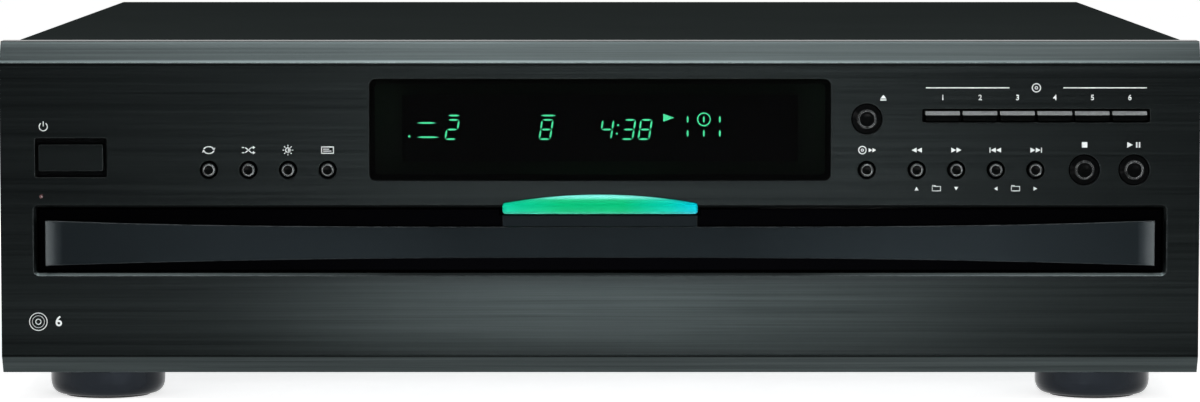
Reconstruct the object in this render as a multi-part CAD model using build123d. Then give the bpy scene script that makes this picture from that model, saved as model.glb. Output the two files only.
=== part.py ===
from build123d import *
import os
from math import atan2, ceil, cos, pi, radians, sin, sqrt, tan

# A full-width disc changer with a carousel in its drawer. Millimetres.
# X runs left to right seen from the front, Y from front to back, Z up from the floor.

# ---------------------------------------------------------------- overall sizes
wells = 6
well_r = 61.0                  # a well takes a 120 mm disc
well_gap = 3.0                 # between neighbouring wells
well_rim = 2.0                 # carousel outside the wells
carousel_margin = 12.0         # from the carousel to the drawer's side
tray_side_gap = 4.7            # from the drawer to the end of its opening
slot_side = 12.8               # from the opening to the end of the front panel
cover_inset = 2.5              # cover's side inside the front panel's end
panel_height = 120.7           # aluminium front panel
foot_height = 10.3
front_set_back = 3.0           # drawer front's base behind the face
front_plate = 3.0
carousel_front = 10.5          # from the drawer front to the carousel
carousel_rear = 9.0            # from the carousel to the drawer's back
rear_room = 19.5               # from the drawer to the rear panel's outside
lens_proud = 2.0
jack_reach = 10.0              # sockets stand out of the rear panel
sheet = 0.8                    # steel sheet of cover and rear panel
cover_drop = 0.8               # cover top below the panel's top edge
cover_seam = 0.3
seat_gap = 0.3                 # clearance between moving pieces
fit_gap = 0.1                  # clearance of a loose fit

well_ring_r = round((well_r + well_gap / 2) / sin(pi / wells), 3)
carousel_r = well_ring_r + well_r + well_rim
tray_half = carousel_r + carousel_margin
slot_width = 2 * (tray_half + tray_side_gap)
panel_width = slot_width + 2 * slot_side
panel_half = panel_width / 2
cover_width = panel_width - 2 * cover_inset
cover_half = cover_width / 2
inner_half = cover_half - sheet
case_depth = front_set_back + front_plate + carousel_front + 2 * carousel_r + carousel_rear + rear_room
face_y = lens_proud - (lens_proud + case_depth + jack_reach) / 2     # outer face of the front panel
rear_y = face_y + case_depth                                         # outer face of the rear panel
tray_front_y = face_y + front_set_back + front_plate
carousel_y = tray_front_y + carousel_front + carousel_r
tray_back_y = carousel_y + carousel_r + carousel_rear
disc_y = carousel_y + well_ring_r                                    # the disc being played
top_z = foot_height + panel_height
cover_top_z = top_z - cover_drop
floor_top_z = foot_height + sheet

# ---------------------------------------------------------------- front panel
panel_skin = 2.5
top_bevel_height = 7.6
top_bevel_depth = 5.0
bottom_bevel_height = 6.2
bottom_bevel_depth = 4.0
panel_return = 15.0            # depth of the folded edges, from the face
frame_skin = 2.5               # plastic frame behind the aluminium
frame_depth = 24.5             # from the face to the frame's rear edge
frame_side_gap = 0.2

# ---------------------------------------------------------------- display window and light lens
window_width = panel_width - 2 * 133.85
window_height = 37.0
window_z = top_z - 31.9
window_corner = 2.5
window_proud = 0.4
window_rim = 2.0
tube_width = window_width - 23.3
tube_height = 24.0
tube_depth = 6.0
tube_stand = 12.0              # front of the tube before the board
holder_inset = 6.0
holder_drop = 2.0
lens_width = 70.7
lens_end_height = 3.7
lens_height = 6.9
lens_foot = 5.5                # depth of the lens behind the face
lens_corner = 1.1
guide_width = 40.0
guide_height = 2.4

# ---------------------------------------------------------------- drawer opening and drawer front
slot_bottom_z = foot_height + 36.6
slot_height = 23.9
lens_bottom_z = slot_bottom_z + 21.7
duct_wall = 1.6
front_gap = 0.8                # round the drawer front
slot_edge = 1.0                # bevel round the opening
lens_clearance = 1.2           # notch in the drawer front round the lens
band_width = slot_width - 6.8
band_z = slot_bottom_z + 11.0
band_upper = (5.8, 8.1, 3.8)   # height above band_z in the middle and at the ends, and how late it grows
band_lower = (5.4, 8.3, 2.4)   # the same below it
band_steps = 8                 # points on half an edge of the band
band_proud = 2.4
band_chamfer = 0.7
flare_width = 6.0              # ends of the band that curl forward
flare = 1.0
patch_proud = 1.2

# ---------------------------------------------------------------- buttons
button_row_z = top_z - 46.5
button_pitch = 14.35
left_row_x = 75.7 - panel_half         # first small button on the left
skip_x = panel_half - 120.8
right_row_x = panel_half - 102.7       # first small button on the right
small_hole_r = 3.35
large_hole_r = 5.7
small_rim = 0.66               # rim radius over hole radius
large_rim = 0.56
open_close_z = top_z - 28.0
stop_x = panel_half - 41.9
play_x = panel_half - 23.9
power_x = 25.7 - panel_half
power_z = top_z - 42.1
power_recess = (26.1, 14.4)
power_cap = (23.6, 9.8)
disc_slot_z = top_z - 26.8
disc_slot_x = panel_half - 59.5
disc_pitch = 13.55
disc_bar = (disc_pitch - 1.05, 3.9)
disc_slot = (wells * disc_pitch + 1.3, 5.0)
button_proud = 1.2
button_gap = 0.25
button_travel = 0.8
power_travel = 1.5
button_flange = 1.2            # thickness of the flange that stops a button coming out
flange_lip = 1.1
stem_r = 1.5
cap_corner = 0.7
dimple = 0.35

# ---------------------------------------------------------------- front board
board = 1.6                    # circuit board thickness
front_board_width = panel_width - 23.0
front_board_bottom = top_z - 54.5
front_board_height = 48.5
front_board_back = 21.5        # its rear side behind the face
boss_edge = (5.0, 2.0)         # posts below the board's top edge, above its bottom edge
switch_size = 6.0
switch_height = 3.4
plunger_height = 0.8
plunger_r = 1.75
tab_width = 50.0
tab_height = 3.5
boss_r = 1.8

# ---------------------------------------------------------------- feet
foot_top_r = 21.0
foot_bottom_r = 17.6
foot_x = cover_half - 33.5
front_foot_y = face_y + 26.0
rear_foot_y = rear_y - 34.5
foot_bore_r = 4.2
pad_inner_r = 6.5
pad_outer_r = 15.5
pad_thickness = 1.6
pad_proud = 0.8

# ---------------------------------------------------------------- drawer
tray_floor_z = slot_bottom_z + 4.1
tray_floor = 1.8
tray_wall = 2.0
tray_skirt_z = tray_floor_z - 3.1
deck_z = tray_floor_z + 13.0   # top of deck and carousel
deck = 1.8
tray_travel = 285.0
runner_z = tray_floor_z + 2.0
runner_height = 3.0
runner_reach = 2.6
runner_start = 24.0            # runners begin behind the drawer front
mech_slot_half = 36.0
mech_slot_y = disc_y - 33.0
rack_gap = 0.3

# ---------------------------------------------------------------- carousel
carousel_plate = 3.0
carousel_rim = 3.0
carousel_skirt = 2.0
well_depth = 1.8
spindle_hole_r = 17.0
well_slot_half = 16.0
post_r = 6.0
hub_r = 14.0
cap_r = 24.0
cap_height = 2.3

# ---------------------------------------------------------------- gears
carousel_module = 1.5
ring_teeth = 88
carousel_pinion_teeth = 12
ring_height = 4.0
ring_inner_r = 58.0
rack_module = 1.5
drive_pinion_teeth = 14
loading_module = 1.0
drive_teeth = 48
pulley_pinion_teeth = 12
tooth_share = 0.72             # tooth thickness over a full one, the rest is backlash
shaft_gap = 0.05

# ---------------------------------------------------------------- loading drive
drive_y = face_y + 49.5
rack_line_x = 70.0             # pitch line of the rack
drive_gear_z = tray_floor_z - 13.0
gear_face = 4.0
pulley_r = 14.0
motor_pulley_r = 4.0
belt_centres = 40.0
belt_z = drive_gear_z - gear_face
belt_height = 2.0
belt_thickness = 1.2
pulley_flange = 1.0
axle_r = 2.0
motor_r = 12.0
motor_shaft_r = 1.0

# ---------------------------------------------------------------- playing mechanism
lift = 14.0
lift_slope = 2.0               # slider travel over lift
disc_seat_z = deck_z + 2.5 - lift      # lowered
plate_top_z = disc_seat_z - 9.5        # traverse plate, lowered
plate = 3.0
frame_half = 33.0
traverse_front_y = disc_y - 17.0
traverse_back_y = rear_y - 10.5
window_half = 27.0
window_front_y = disc_y + 12.0
window_back_y = rear_y - 18.5
frame_wall = 2.0
frame_wall_z = plate_top_z - 19.0
pin_r = 1.8
pin_z = plate_top_z - 15.0
pin_ys = (disc_y + 3.0, rear_y - 46.5)
cam_gap = 0.2
cheek_half = 38.5
slider_sheet = 1.5
slider_front_y = disc_y - 5.0
slider_back_y = rear_y - 11.5
base_sheet = 1.5
base_half = 46.0
base_front_y = disc_y - 19.0
base_back_y = rear_y - 6.5
post_sheet = 2.0
turntable_r = 14.0
turntable = 3.0
cone_r = 7.3
cone_height = 3.0
spindle_r = 1.2
spindle_motor_r = 10.5
spindle_motor_height = 11.0
rod_x = 24.0
rod_z = plate_top_z - 1.2
rod_r = 1.5
pickup_y = disc_y + 25.5
pickup_half_length = 12.0
pickup_half = 13.0
pickup_travel = window_back_y - 2.5 - pickup_y - pickup_half_length
pickup_top_z = plate_top_z + 4.0
lens_top_z = pickup_top_z + 3.6
sled_module = 0.8
sled_teeth = 16
sled_gear_z = plate_top_z - 9.0
sled_gear_face = 4.0
sled_motor_r = 8.5
sled_motor_height = 11.0
bracket = 2.0
sled_gear_lead = 4.0           # sled gear behind the middle of the rack's travel

# ---------------------------------------------------------------- clamp
rail_wall = 2.0
rail_foot = 5.0
rail_top_z = tray_floor_z + 9.0
rail_gap = 1.2
bridge_z = deck_z + 10.0
bridge_sheet = 2.0
bridge_front_y = disc_y - 27.0
bridge_back_y = disc_y + 27.0
clamper_r = 13.0
clamper_z = deck_z + 3.9
clamper_height = 4.1
clamper_bore_r = 8.2
clamper_neck_r = 8.0
clamper_flange_r = 12.5
clamper_flange = 1.6

# ---------------------------------------------------------------- electronics and rear
main_board_z = foot_height + 6.7
main_board_x = 19.0 - cover_half
main_board = (main_board_x, -12.0 - base_half, rear_y - 268.5, rear_y - 10.5)
capacitor = (4.5, 14.0)        # radius and height of the small ones
capacitor_pitch = (14.0, 16.0)
chip = (18.0, 18.0, 2.4)
chip_pitch = 40.0
sink = (26.0, 14.0, 22.0)
fin_pitch = 6.0
fin = 2.0
plug = (16.0, 5.0, 7.0)
plug_pitch = 26.0
connector_z = main_board_z + 11.0
jack_pitch = 15.0
jack_xs = (main_board_x + 46.0, main_board_x + 46.0 + jack_pitch)
digital_xs = (main_board_x + 84.0, main_board_x + 102.0)
jack_r = 4.15
jack_pin_r = 1.6
jack_collar_r = 5.2
jack_collar = 1.0              # collar outside the rear panel
optical_size = 9.0
optical_mouth = 5.2
block_depth = 11.0             # socket blocks inside the rear panel
inlet_x = cover_half - 65.0
inlet_size = (26.0, 20.0)
inlet_mouth = (17.0, 9.0)
inlet_depth = 12.0
inlet_pin_x = 4.0
inlet_pin_r = 1.2
transformer_x = cover_half - 87.0
transformer_y = rear_y - 101.5
transformer_size = (62.0, 54.0, 33.0)
vent_length = 32.0
vent_width = 3.0
vent_pitch = 7.0
screw_r = 1.5
screw_head_r = 2.9
screw_head = 1.9
screw_length = 8.0
side_screw_length = 6.0
foot_recess = 3.0              # foot screws' heads below the floor
side_screw_z = foot_height + 13.7
side_screw_ys = (face_y + 64.5, rear_y - 46.5)
rear_screw_z = top_z - 10.0
rear_screw_x = cover_half - 25.0

# ---------------------------------------------------------------- values that follow
cover_front_y = face_y + panel_return + cover_seam
frame_back_y = face_y + frame_depth
frame_front_y = face_y + panel_skin
frame_plate_y = frame_front_y + frame_skin
slot_z = slot_bottom_z + slot_height / 2
slot_top_z = slot_bottom_z + slot_height
board_back_y = face_y + front_board_back
board_front_y = board_back_y - board
flange_front_y = frame_plate_y + seat_gap
flange_back_y = flange_front_y + button_flange
plunger_y = board_front_y - switch_height - plunger_height
drive_pinion_r = rack_module * drive_pinion_teeth / 2
drive_x = rack_line_x - drive_pinion_r
drive_r = loading_module * drive_teeth / 2
pulley_pinion_r = loading_module * pulley_pinion_teeth / 2
pulley_x = drive_x - drive_r - pulley_pinion_r
motor_x = pulley_x - belt_centres
ring_r = carousel_module * ring_teeth / 2
carousel_pinion_r = carousel_module * carousel_pinion_teeth / 2
carousel_motor_y = carousel_y - ring_r - carousel_pinion_r
carousel_bottom_z = deck_z - carousel_plate
ring_z = carousel_bottom_z - ring_height
tray_floor_top_z = tray_floor_z + tray_floor
sled_r = sled_module * sled_teeth / 2
sled_rack_x = pickup_half
sled_x = sled_rack_x + sled_r
sled_y = pickup_y + pickup_travel / 2 + sled_gear_lead
bridge_top_z = bridge_z + bridge_sheet
rail_in = tray_half + rail_gap
rail_out = rail_in + runner_reach + seat_gap + rail_wall + 1.0
button_column = [button_pitch * step for step in range(4)]


# ---------------------------------------------------------------- shapes used again and again
def block(x0, x1, y0, y1, z0, z1):
    """A block between two opposite corners."""
    centre = Pos((x0 + x1) / 2, (y0 + y1) / 2, (z0 + z1) / 2)
    return centre * Box(abs(x1 - x0), abs(y1 - y0), abs(z1 - z0))


def disc(x, y, z0, z1, r):
    """An upright cylinder."""
    return Pos(x, y, (z0 + z1) / 2) * Cylinder(r, z1 - z0)


def rod(x, z, y0, y1, r):
    """A cylinder that runs front to back."""
    return Pos(x, (y0 + y1) / 2, z) * Rot(90, 0, 0) * Cylinder(r, y1 - y0)


def cross_rod(x0, x1, y, z, r):
    """A cylinder that runs left to right."""
    return Pos((x0 + x1) / 2, y, z) * Rot(0, 90, 0) * Cylinder(r, x1 - x0)


def front_face(sketch, x, z, y0, y1):
    """A flat outline, drawn as seen from the front, made solid from y0 back to y1."""
    plane = Plane(origin=(x, y1, z), x_dir=(1, 0, 0), z_dir=(0, -1, 0))
    return extrude(plane * sketch, amount=y1 - y0)


def side_face(points, x0, x1):
    """A closed outline of (y, z) points, made solid from x0 to x1."""
    outline = Polyline(*[(x0, y, z) for y, z in points], close=True)
    return extrude(make_face(outline), amount=x1 - x0, dir=(1, 0, 0))


def turned(profile, x, y, z):
    """A closed outline of (radius, height) points turned round an upright axis."""
    outline = Polyline(*[(r, 0, h) for r, h in profile], close=True)
    return Pos(x, y, z) * revolve(make_face(outline), Axis.Z)


def gear(teeth, module, height, bore, turn):
    """A spur gear on Z = 0 with one tooth centred at the angle turn."""
    pitch_r = teeth * module / 2
    radii = (pitch_r - 1.25 * module, pitch_r + 0.85 * module)
    half = pi * module / 4 * tooth_share
    widths = (half + 0.4 * module, half - 0.32 * module)
    points = []
    for tooth in range(teeth):
        middle = radians(turn) + 2 * pi * tooth / teeth
        for r, w, side in zip(radii + radii[::-1], widths + widths[::-1], (-1, -1, 1, 1)):
            angle = middle + side * w / r
            points.append((r * cos(angle), r * sin(angle)))
    wheel = extrude(make_face(Polyline(*points, close=True)), amount=height)
    if bore > 0:
        wheel -= disc(0, 0, -1, height + 1, bore)
    return wheel


def front_outline(inset, back_y):
    """Side outline of the front panel, moved inwards by inset, back to back_y."""
    top_lean = atan2(top_bevel_depth, top_bevel_height)
    bottom_lean = atan2(bottom_bevel_depth, bottom_bevel_height)
    y = face_y + inset
    return [
        (back_y, foot_height + inset),
        (face_y + bottom_bevel_depth + inset * tan((pi / 2 - bottom_lean) / 2), foot_height + inset),
        (y, foot_height + bottom_bevel_height + inset * tan(bottom_lean / 2)),
        (y, top_z - top_bevel_height - inset * tan(top_lean / 2)),
        (face_y + top_bevel_depth + inset * tan((pi / 2 - top_lean) / 2), top_z - inset),
        (back_y, top_z - inset),
    ]


def button_spots():
    """Each round button: name, x, z and the radius of its hole."""
    left = ["repeat_button", "random_button", "dimmer_button", "display_button"]
    right = ["search_back_button", "search_forward_button", "track_back_button", "track_forward_button"]
    spots = [(name, left_row_x + step, button_row_z, small_hole_r) for name, step in zip(left, button_column)]
    spots += [(name, right_row_x + step, button_row_z, small_hole_r) for name, step in zip(right, button_column)]
    spots.append(("disc_skip_button", skip_x, button_row_z, small_hole_r))
    spots.append(("open_close_button", skip_x, open_close_z, large_hole_r))
    spots.append(("stop_button", stop_x, button_row_z, large_hole_r))
    spots.append(("play_pause_button", play_x, button_row_z, large_hole_r))
    return spots


def disc_button_xs():
    """Places of the six disc select buttons."""
    return [disc_slot_x + disc_pitch * (i - (wells - 1) / 2) for i in range(wells)]


def screw_boss_spots():
    """Posts that carry the front board, seen from the front: (x, z)."""
    upper = front_board_bottom + front_board_height - boss_edge[0]
    lower = front_board_bottom + boss_edge[1]
    window_end = window_width / 2
    spots = []
    for side in (-1, 1):
        spots += [(side * (panel_half - 27.5), upper), (side * (window_end + 11.35), upper)]
        spots += [(side * (panel_half - 52.5), lower), (side * (window_end - 8.65), lower)]
    return spots


# ---------------------------------------------------------------- case
def lens_outline(grow):
    """Arched outline of the light lens about its bottom middle, grown all round."""
    half = lens_width / 2 + grow
    low = -grow
    end = lens_end_height + grow
    crown = lens_height + grow
    arch = ThreePointArc((-half, end), (0, crown), (half, end))
    sides = Polyline((half, end), (half, low), (-half, low), (-half, end))
    face = make_face(Curve() + [arch, sides])
    return fillet(face.vertices(), lens_corner)


def front_panel():
    """Folded aluminium front with its bevels and every hole."""
    back = face_y + panel_return
    half = panel_width / 2
    skin = side_face(front_outline(0, back), -half, half)
    skin -= side_face(front_outline(panel_skin, back + 1), -half - 1, half + 1)
    through = (face_y - 1, frame_front_y + 1)
    skin -= front_face(RectangleRounded(slot_width, slot_height, slot_edge), 0, slot_z, *through)
    rim = skin.edges().group_by(Axis.Y)[0].filter_by(lambda edge: abs(edge.center().Z - slot_z) < slot_height / 2 + 1)
    skin = chamfer(rim.filter_by(lambda edge: abs(edge.center().X) < slot_width / 2 + 1), slot_edge)
    cuts = [front_face(RectangleRounded(window_width, window_height, window_corner), 0, window_z, *through)]
    cuts.append(front_face(lens_outline(fit_gap), 0, lens_bottom_z, *through))
    cuts.append(front_face(RectangleRounded(*power_recess, 0.8), power_x, power_z, *through))
    cuts.append(front_face(RectangleRounded(*disc_slot, 0.8), disc_slot_x, disc_slot_z, *through))
    for name, x, z, r in button_spots():
        cuts.append(rod(x, z, *through, r))
    for cut in cuts:
        skin -= cut
    return skin


def front_frame():
    """Plastic frame that fills the panel and carries window, board, buttons and drawer opening."""
    half = panel_width / 2 - frame_side_gap
    fold_y = face_y + panel_return
    shell = side_face(front_outline(panel_skin, fold_y), -half, half)
    rear = (fold_y, frame_back_y, floor_top_z, cover_top_z - sheet)
    shell += block(-inner_half, inner_half, *rear)
    inner = side_face(front_outline(panel_skin + frame_skin, fold_y + 1), -inner_half + frame_skin,
                      inner_half - frame_skin)
    shell -= inner
    shell -= block(-inner_half + frame_skin, inner_half - frame_skin, fold_y, frame_back_y + 1,
                   foot_height + panel_skin + frame_skin, top_z - panel_skin - frame_skin)
    shell += block(-slot_width / 2 - duct_wall, slot_width / 2 + duct_wall, frame_front_y, frame_back_y,
                   slot_bottom_z - duct_wall, slot_top_z + duct_wall)
    for x, z in screw_boss_spots():
        shell += rod(x, z, frame_plate_y - fit_gap, board_front_y, boss_r)
    through = (frame_front_y - 1, frame_plate_y + 1)
    rim = 2 * window_rim
    cuts = [block(-slot_width / 2, slot_width / 2, frame_front_y - 1, frame_back_y + 1, slot_bottom_z, slot_top_z)]
    cuts.append(front_face(RectangleRounded(window_width - rim, window_height - rim, 1.5), 0, window_z, *through))
    cuts.append(front_face(lens_outline(fit_gap), 0, lens_bottom_z, frame_front_y - 1, face_y + lens_foot + fit_gap))
    guide_z = slot_top_z + duct_wall
    cuts.append(block(-guide_width / 2 - fit_gap, guide_width / 2 + fit_gap, frame_front_y - 1, frame_back_y + 1,
                      guide_z, guide_z + guide_height + fit_gap))
    hole = 2 * button_gap
    power = RectangleRounded(power_cap[0] + hole, power_cap[1] + hole, cap_corner)
    cuts.append(front_face(power, power_x, power_z, *through))
    for x in disc_button_xs():
        bar = RectangleRounded(disc_bar[0] + hole, disc_bar[1] + hole, cap_corner)
        cuts.append(front_face(bar, x, disc_slot_z, *through))
    for name, x, z, r in button_spots():
        cuts.append(rod(x, z, *through, r))
    for cut in cuts:
        shell -= cut
    return shell


def display_window():
    """Gloss pane in the panel's opening, resting on the frame."""
    gap = 2 * fit_gap
    outline = RectangleRounded(window_width - gap, window_height - gap, window_corner - fit_gap)
    pane = front_face(outline, 0, window_z, face_y - window_proud, frame_front_y)
    front = pane.faces().sort_by(Axis.Y)[0]
    return chamfer(front.edges(), 0.3)


def light_lens():
    """Arched lens over the drawer opening, with its light guide to the front board."""
    lens = front_face(lens_outline(0), 0, lens_bottom_z, face_y - lens_proud, face_y + lens_foot)
    front = lens.faces().sort_by(Axis.Y)[0]
    lens = chamfer(front.edges(), lens_corner * 0.6)
    guide_z = slot_top_z + duct_wall
    guide = block(-guide_width / 2, guide_width / 2, face_y + lens_foot - 1, board_front_y, guide_z,
                  guide_z + guide_height)
    return lens + guide


def top_cover():
    """Folded steel cover: top and both sides."""
    bottom = floor_top_z
    outline = Polyline((-cover_half, 0, bottom), (-cover_half, 0, cover_top_z), (cover_half, 0, cover_top_z),
                       (cover_half, 0, bottom), close=True)
    solid = extrude(Pos(0, cover_front_y, 0) * make_face(outline), amount=rear_y - cover_front_y, dir=(0, 1, 0))
    folds = solid.edges().filter_by(Axis.Y).filter_by(lambda e: e.center().Z > bottom + 1)
    solid = fillet(folds, 1.2)
    solid -= block(-inner_half, inner_half, cover_front_y - 1, rear_y + 1, bottom - 1, cover_top_z - sheet)
    for x0, x1, y, z in side_screw_spots():
        solid -= cross_rod(min(x0, x1) - 1, max(x0, x1) + 1, y, z, screw_r + shaft_gap)
    return solid


def side_screw_spots():
    """Side screws through cover and chassis: outer x, inner x, y, z."""
    spots = []
    for side in (-1, 1):
        for y in side_screw_ys:
            spots.append((side * cover_half, side * (inner_half - sheet), y, side_screw_z))
    return spots


def rear_screw_spots():
    """Screws through the rear panel: x, z."""
    return [(side * rear_screw_x, rear_screw_z) for side in (-1, 0, 1)]


def bottom_chassis():
    """Folded steel floor with side flanges, standoffs, axle posts and vents."""
    front = face_y + panel_return + cover_seam
    body = block(-cover_half, cover_half, front, rear_y, foot_height, floor_top_z)
    for side in (-1, 1):
        flange = block(side * inner_half, side * (inner_half - sheet), frame_back_y + seat_gap, rear_y - sheet,
                       floor_top_z, floor_top_z + 24)
        body += flange
    x0, x1, y0, y1 = main_board
    for x in (x0 + 6, x1 - 6):
        for y in (y0 + 6, (y0 + y1) / 2, y1 - 6):
            body += disc(x, y, floor_top_z, main_board_z, 3.0)
    body += disc(drive_x, drive_y, floor_top_z, drive_gear_z - seat_gap, 2 * axle_r)
    body += disc(drive_x, drive_y, floor_top_z, drive_gear_z + 3 * gear_face - 1, axle_r)
    body += disc(pulley_x, drive_y, floor_top_z, belt_z - pulley_flange - seat_gap, 2 * axle_r)
    body += disc(pulley_x, drive_y, floor_top_z, drive_gear_z + gear_face, axle_r)
    for step in range(7):
        x = transformer_x + (step - 3) * vent_pitch
        y = transformer_y - 75.0
        body -= block(x - vent_width / 2, x + vent_width / 2, y - vent_length / 2, y + vent_length / 2,
                      foot_height - 1, floor_top_z + 1)
    for x0, x1, y, z in side_screw_spots():
        body -= cross_rod(min(x0, x1) - 1, max(x0, x1) + 1, y, z, screw_r + shaft_gap)
    for x, y in foot_spots():
        body -= disc(x, y, foot_height - 1, floor_top_z + 1, screw_r + shaft_gap)
    return body


def rear_panel():
    """Steel rear panel with openings for the sockets, and rows of vents."""
    body = block(-inner_half, inner_half, rear_y - sheet, rear_y, floor_top_z, cover_top_z - sheet)
    through = (rear_y - sheet - 1, rear_y + 1)
    for x in jack_xs + digital_xs[:1]:
        body -= rod(x, connector_z, *through, jack_collar_r + fit_gap)
    optical = optical_size + 2 * fit_gap
    body -= front_face(Rectangle(optical, optical), digital_xs[1], connector_z, *through)
    width, height = inlet_size
    body -= front_face(RectangleRounded(width - 4, height - 4, 2.0), inlet_x, connector_z, *through)
    for x, z in rear_screw_spots():
        body -= rod(x, z, *through, screw_r + shaft_gap)
    for row in range(2):
        for step in range(12):
            x = inlet_x - 90.0 + step * vent_pitch
            z = top_z - 65.0 + row * (vent_length / 2 + 6)
            body -= block(x - vent_width / 2, x + vent_width / 2, *through, z, z + vent_length / 2)
    return body


def foot_spots():
    """Centres of the four feet."""
    return [(side * foot_x, y) for side in (-1, 1) for y in (front_foot_y, rear_foot_y)]


def feet():
    """Four moulded feet, tapered and rounded in at the bottom."""
    round_in = foot_top_r - foot_bottom_r
    groups = []
    for x, y in foot_spots():
        profile = [(foot_bore_r, foot_height), (foot_top_r, foot_height), (foot_top_r, foot_height * 0.55)]
        for step in range(1, 7):
            angle = pi / 2 * step / 6
            drop = (foot_height * 0.55 - pad_proud) * sin(angle)
            profile.append((foot_bottom_r + round_in * cos(angle), foot_height * 0.55 - drop))
        profile += [(pad_outer_r + fit_gap, pad_proud), (pad_outer_r + fit_gap, pad_thickness),
                    (pad_inner_r - fit_gap, pad_thickness), (pad_inner_r - fit_gap, pad_proud),
                    (foot_bore_r + 1, pad_proud), (foot_bore_r + 1, foot_height - foot_recess),
                    (foot_bore_r - 2, foot_height - foot_recess), (foot_bore_r - 2, foot_height)]
        profile.remove((foot_bore_r, foot_height))
        groups.append(turned(profile, x, y, 0))
    return Compound(children=groups)


def foot_pads():
    """Soft rings in the feet that stand on the shelf."""
    groups = []
    for x, y in foot_spots():
        ring = disc(x, y, 0, pad_thickness, pad_outer_r) - disc(x, y, -1, pad_thickness + 1, pad_inner_r)
        groups.append(ring)
    return Compound(children=groups)


def screw(length):
    """A pan head screw that points down, its head's underside on Z = 0."""
    head = disc(0, 0, 0, screw_head, screw_head_r)
    head = fillet(head.edges().sort_by(Axis.Z)[-1], 0.9)
    cross = Box(3.2, 0.7, 1.8) + Box(0.7, 3.2, 1.8)
    return head + disc(0, 0, -length, 0, screw_r) - Pos(0, 0, screw_head) * cross


def case_screws():
    """Cover, rear panel and foot screws."""
    group = []
    for x0, x1, y, z in side_screw_spots():
        lean = 90 if x0 > 0 else -90
        group.append(Pos(x0, y, z) * Rot(0, lean, 0) * screw(side_screw_length))
    for x, z in rear_screw_spots():
        group.append(Pos(x, rear_y, z) * Rot(-90, 0, 0) * screw(screw_length))
    for x, y in foot_spots():
        group.append(Pos(x, y, foot_height - foot_recess) * Rot(180, 0, 0) * screw(screw_length / 2 + 1))
    return Compound(children=group)


# ---------------------------------------------------------------- buttons
def button_stem(x, z, travel):
    """Stem of a button, which stops short of its switch by its travel."""
    return rod(x, z, flange_back_y - fit_gap, plunger_y - travel - fit_gap, stem_r)


def round_button(x, z, hole_r, rim_share):
    """A round button: rim with a dimple in front, flange and stem behind."""
    cap_r = hole_r - button_gap
    rim_r = rim_share * hole_r
    length = flange_front_y - face_y
    profile = [(0, -button_proud), (rim_r - 0.35, -button_proud), (rim_r, -button_proud + 0.2),
               (rim_r + 0.25, -button_proud + 0.6), (cap_r - 0.15, 0.3), (cap_r, 0.7), (cap_r, length),
               (cap_r + flange_lip, length), (cap_r + flange_lip, length + button_flange),
               (0, length + button_flange)]
    outline = Polyline(*[(r, y, 0) for r, y in profile], close=True)
    body = Pos(x, face_y, z) * revolve(make_face(outline), Axis.Y)
    ball_r = (rim_r ** 2 + dimple ** 2) / (2 * dimple)
    body -= Pos(x, face_y - button_proud - ball_r + dimple, z) * Sphere(ball_r * 0.985)
    return body + button_stem(x, z, button_travel)


def flat_button(x, z, size, proud, lip, travel):
    """A flat button with softened edges, flange and stem."""
    width, height = size
    cap = front_face(RectangleRounded(width, height, cap_corner), x, z, face_y - proud, flange_front_y)
    cap = fillet(cap.faces().sort_by(Axis.Y)[0].edges(), 0.4)
    flange = block(x - width / 2 - lip[0], x + width / 2 + lip[0], flange_front_y, flange_back_y,
                   z - height / 2 - lip[1], z + height / 2 + lip[1])
    return cap + flange + button_stem(x, z, travel)


def disc_button(x):
    """A narrow disc select button with its upper edge sloped back."""
    width, height = disc_bar
    body = flat_button(x, disc_slot_z, disc_bar, 0.6, (0.3, 1.4), button_travel)
    slope = height * 0.45
    front = face_y - 0.6
    top = disc_slot_z + height / 2
    wedge = side_face([(front - 1, top - slope), (front, top - slope), (front + 1.4, top), (front + 1.4, top + 1),
                       (front - 1, top + 1)], x - width / 2 - 1, x + width / 2 + 1)
    return body - wedge


def power_button():
    """Wide power button that stands back in its recess."""
    return flat_button(power_x, power_z, power_cap, 0.3, (1.2, 1.2), power_travel)


# ---------------------------------------------------------------- front electronics
def front_board():
    """Circuit board behind the buttons, with a tab for the lens light."""
    x = front_board_width / 2
    body = block(-x, x, board_front_y, board_back_y, front_board_bottom, front_board_bottom + front_board_height)
    body += block(-tab_width / 2, tab_width / 2, board_front_y, board_back_y, front_board_bottom - tab_height,
                  front_board_bottom)
    return body


def key_switches():
    """A small push switch behind every button."""
    places = [(x, z) for name, x, z, r in button_spots()]
    places += [(x, disc_slot_z) for x in disc_button_xs()]
    places.append((power_x, power_z))
    half = switch_size / 2
    group = []
    for x, z in places:
        body = block(x - half, x + half, board_front_y - switch_height, board_front_y, z - half, z + half)
        group.append(body + rod(x, z, plunger_y, board_front_y - switch_height + fit_gap, plunger_r))
    return Compound(children=group)


def display_tube():
    """Glass display tube on its holder."""
    front = board_front_y - tube_stand
    half = tube_width / 2
    tube = block(-half, half, front, front + tube_depth, window_z - tube_height / 2, window_z + tube_height / 2)
    tube = chamfer(tube.edges().filter_by(Axis.Z), 1.0)
    holder_half = tube_height / 2 - holder_drop
    holder = block(-half + holder_inset, half - holder_inset, front + tube_depth, board_front_y,
                   window_z - holder_half, window_z + holder_half)
    return tube + holder


# ---------------------------------------------------------------- drawer
def band_edge(heights, side):
    """Upper or lower edge of the band, which widens towards its ends."""
    middle, end, late = heights
    ear = band_width / 2
    shares = [step / band_steps for step in range(-band_steps, band_steps + 1)]
    return Spline(*[(share * ear, side * (middle + (end - middle) * abs(share) ** late)) for share in shares])


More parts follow.
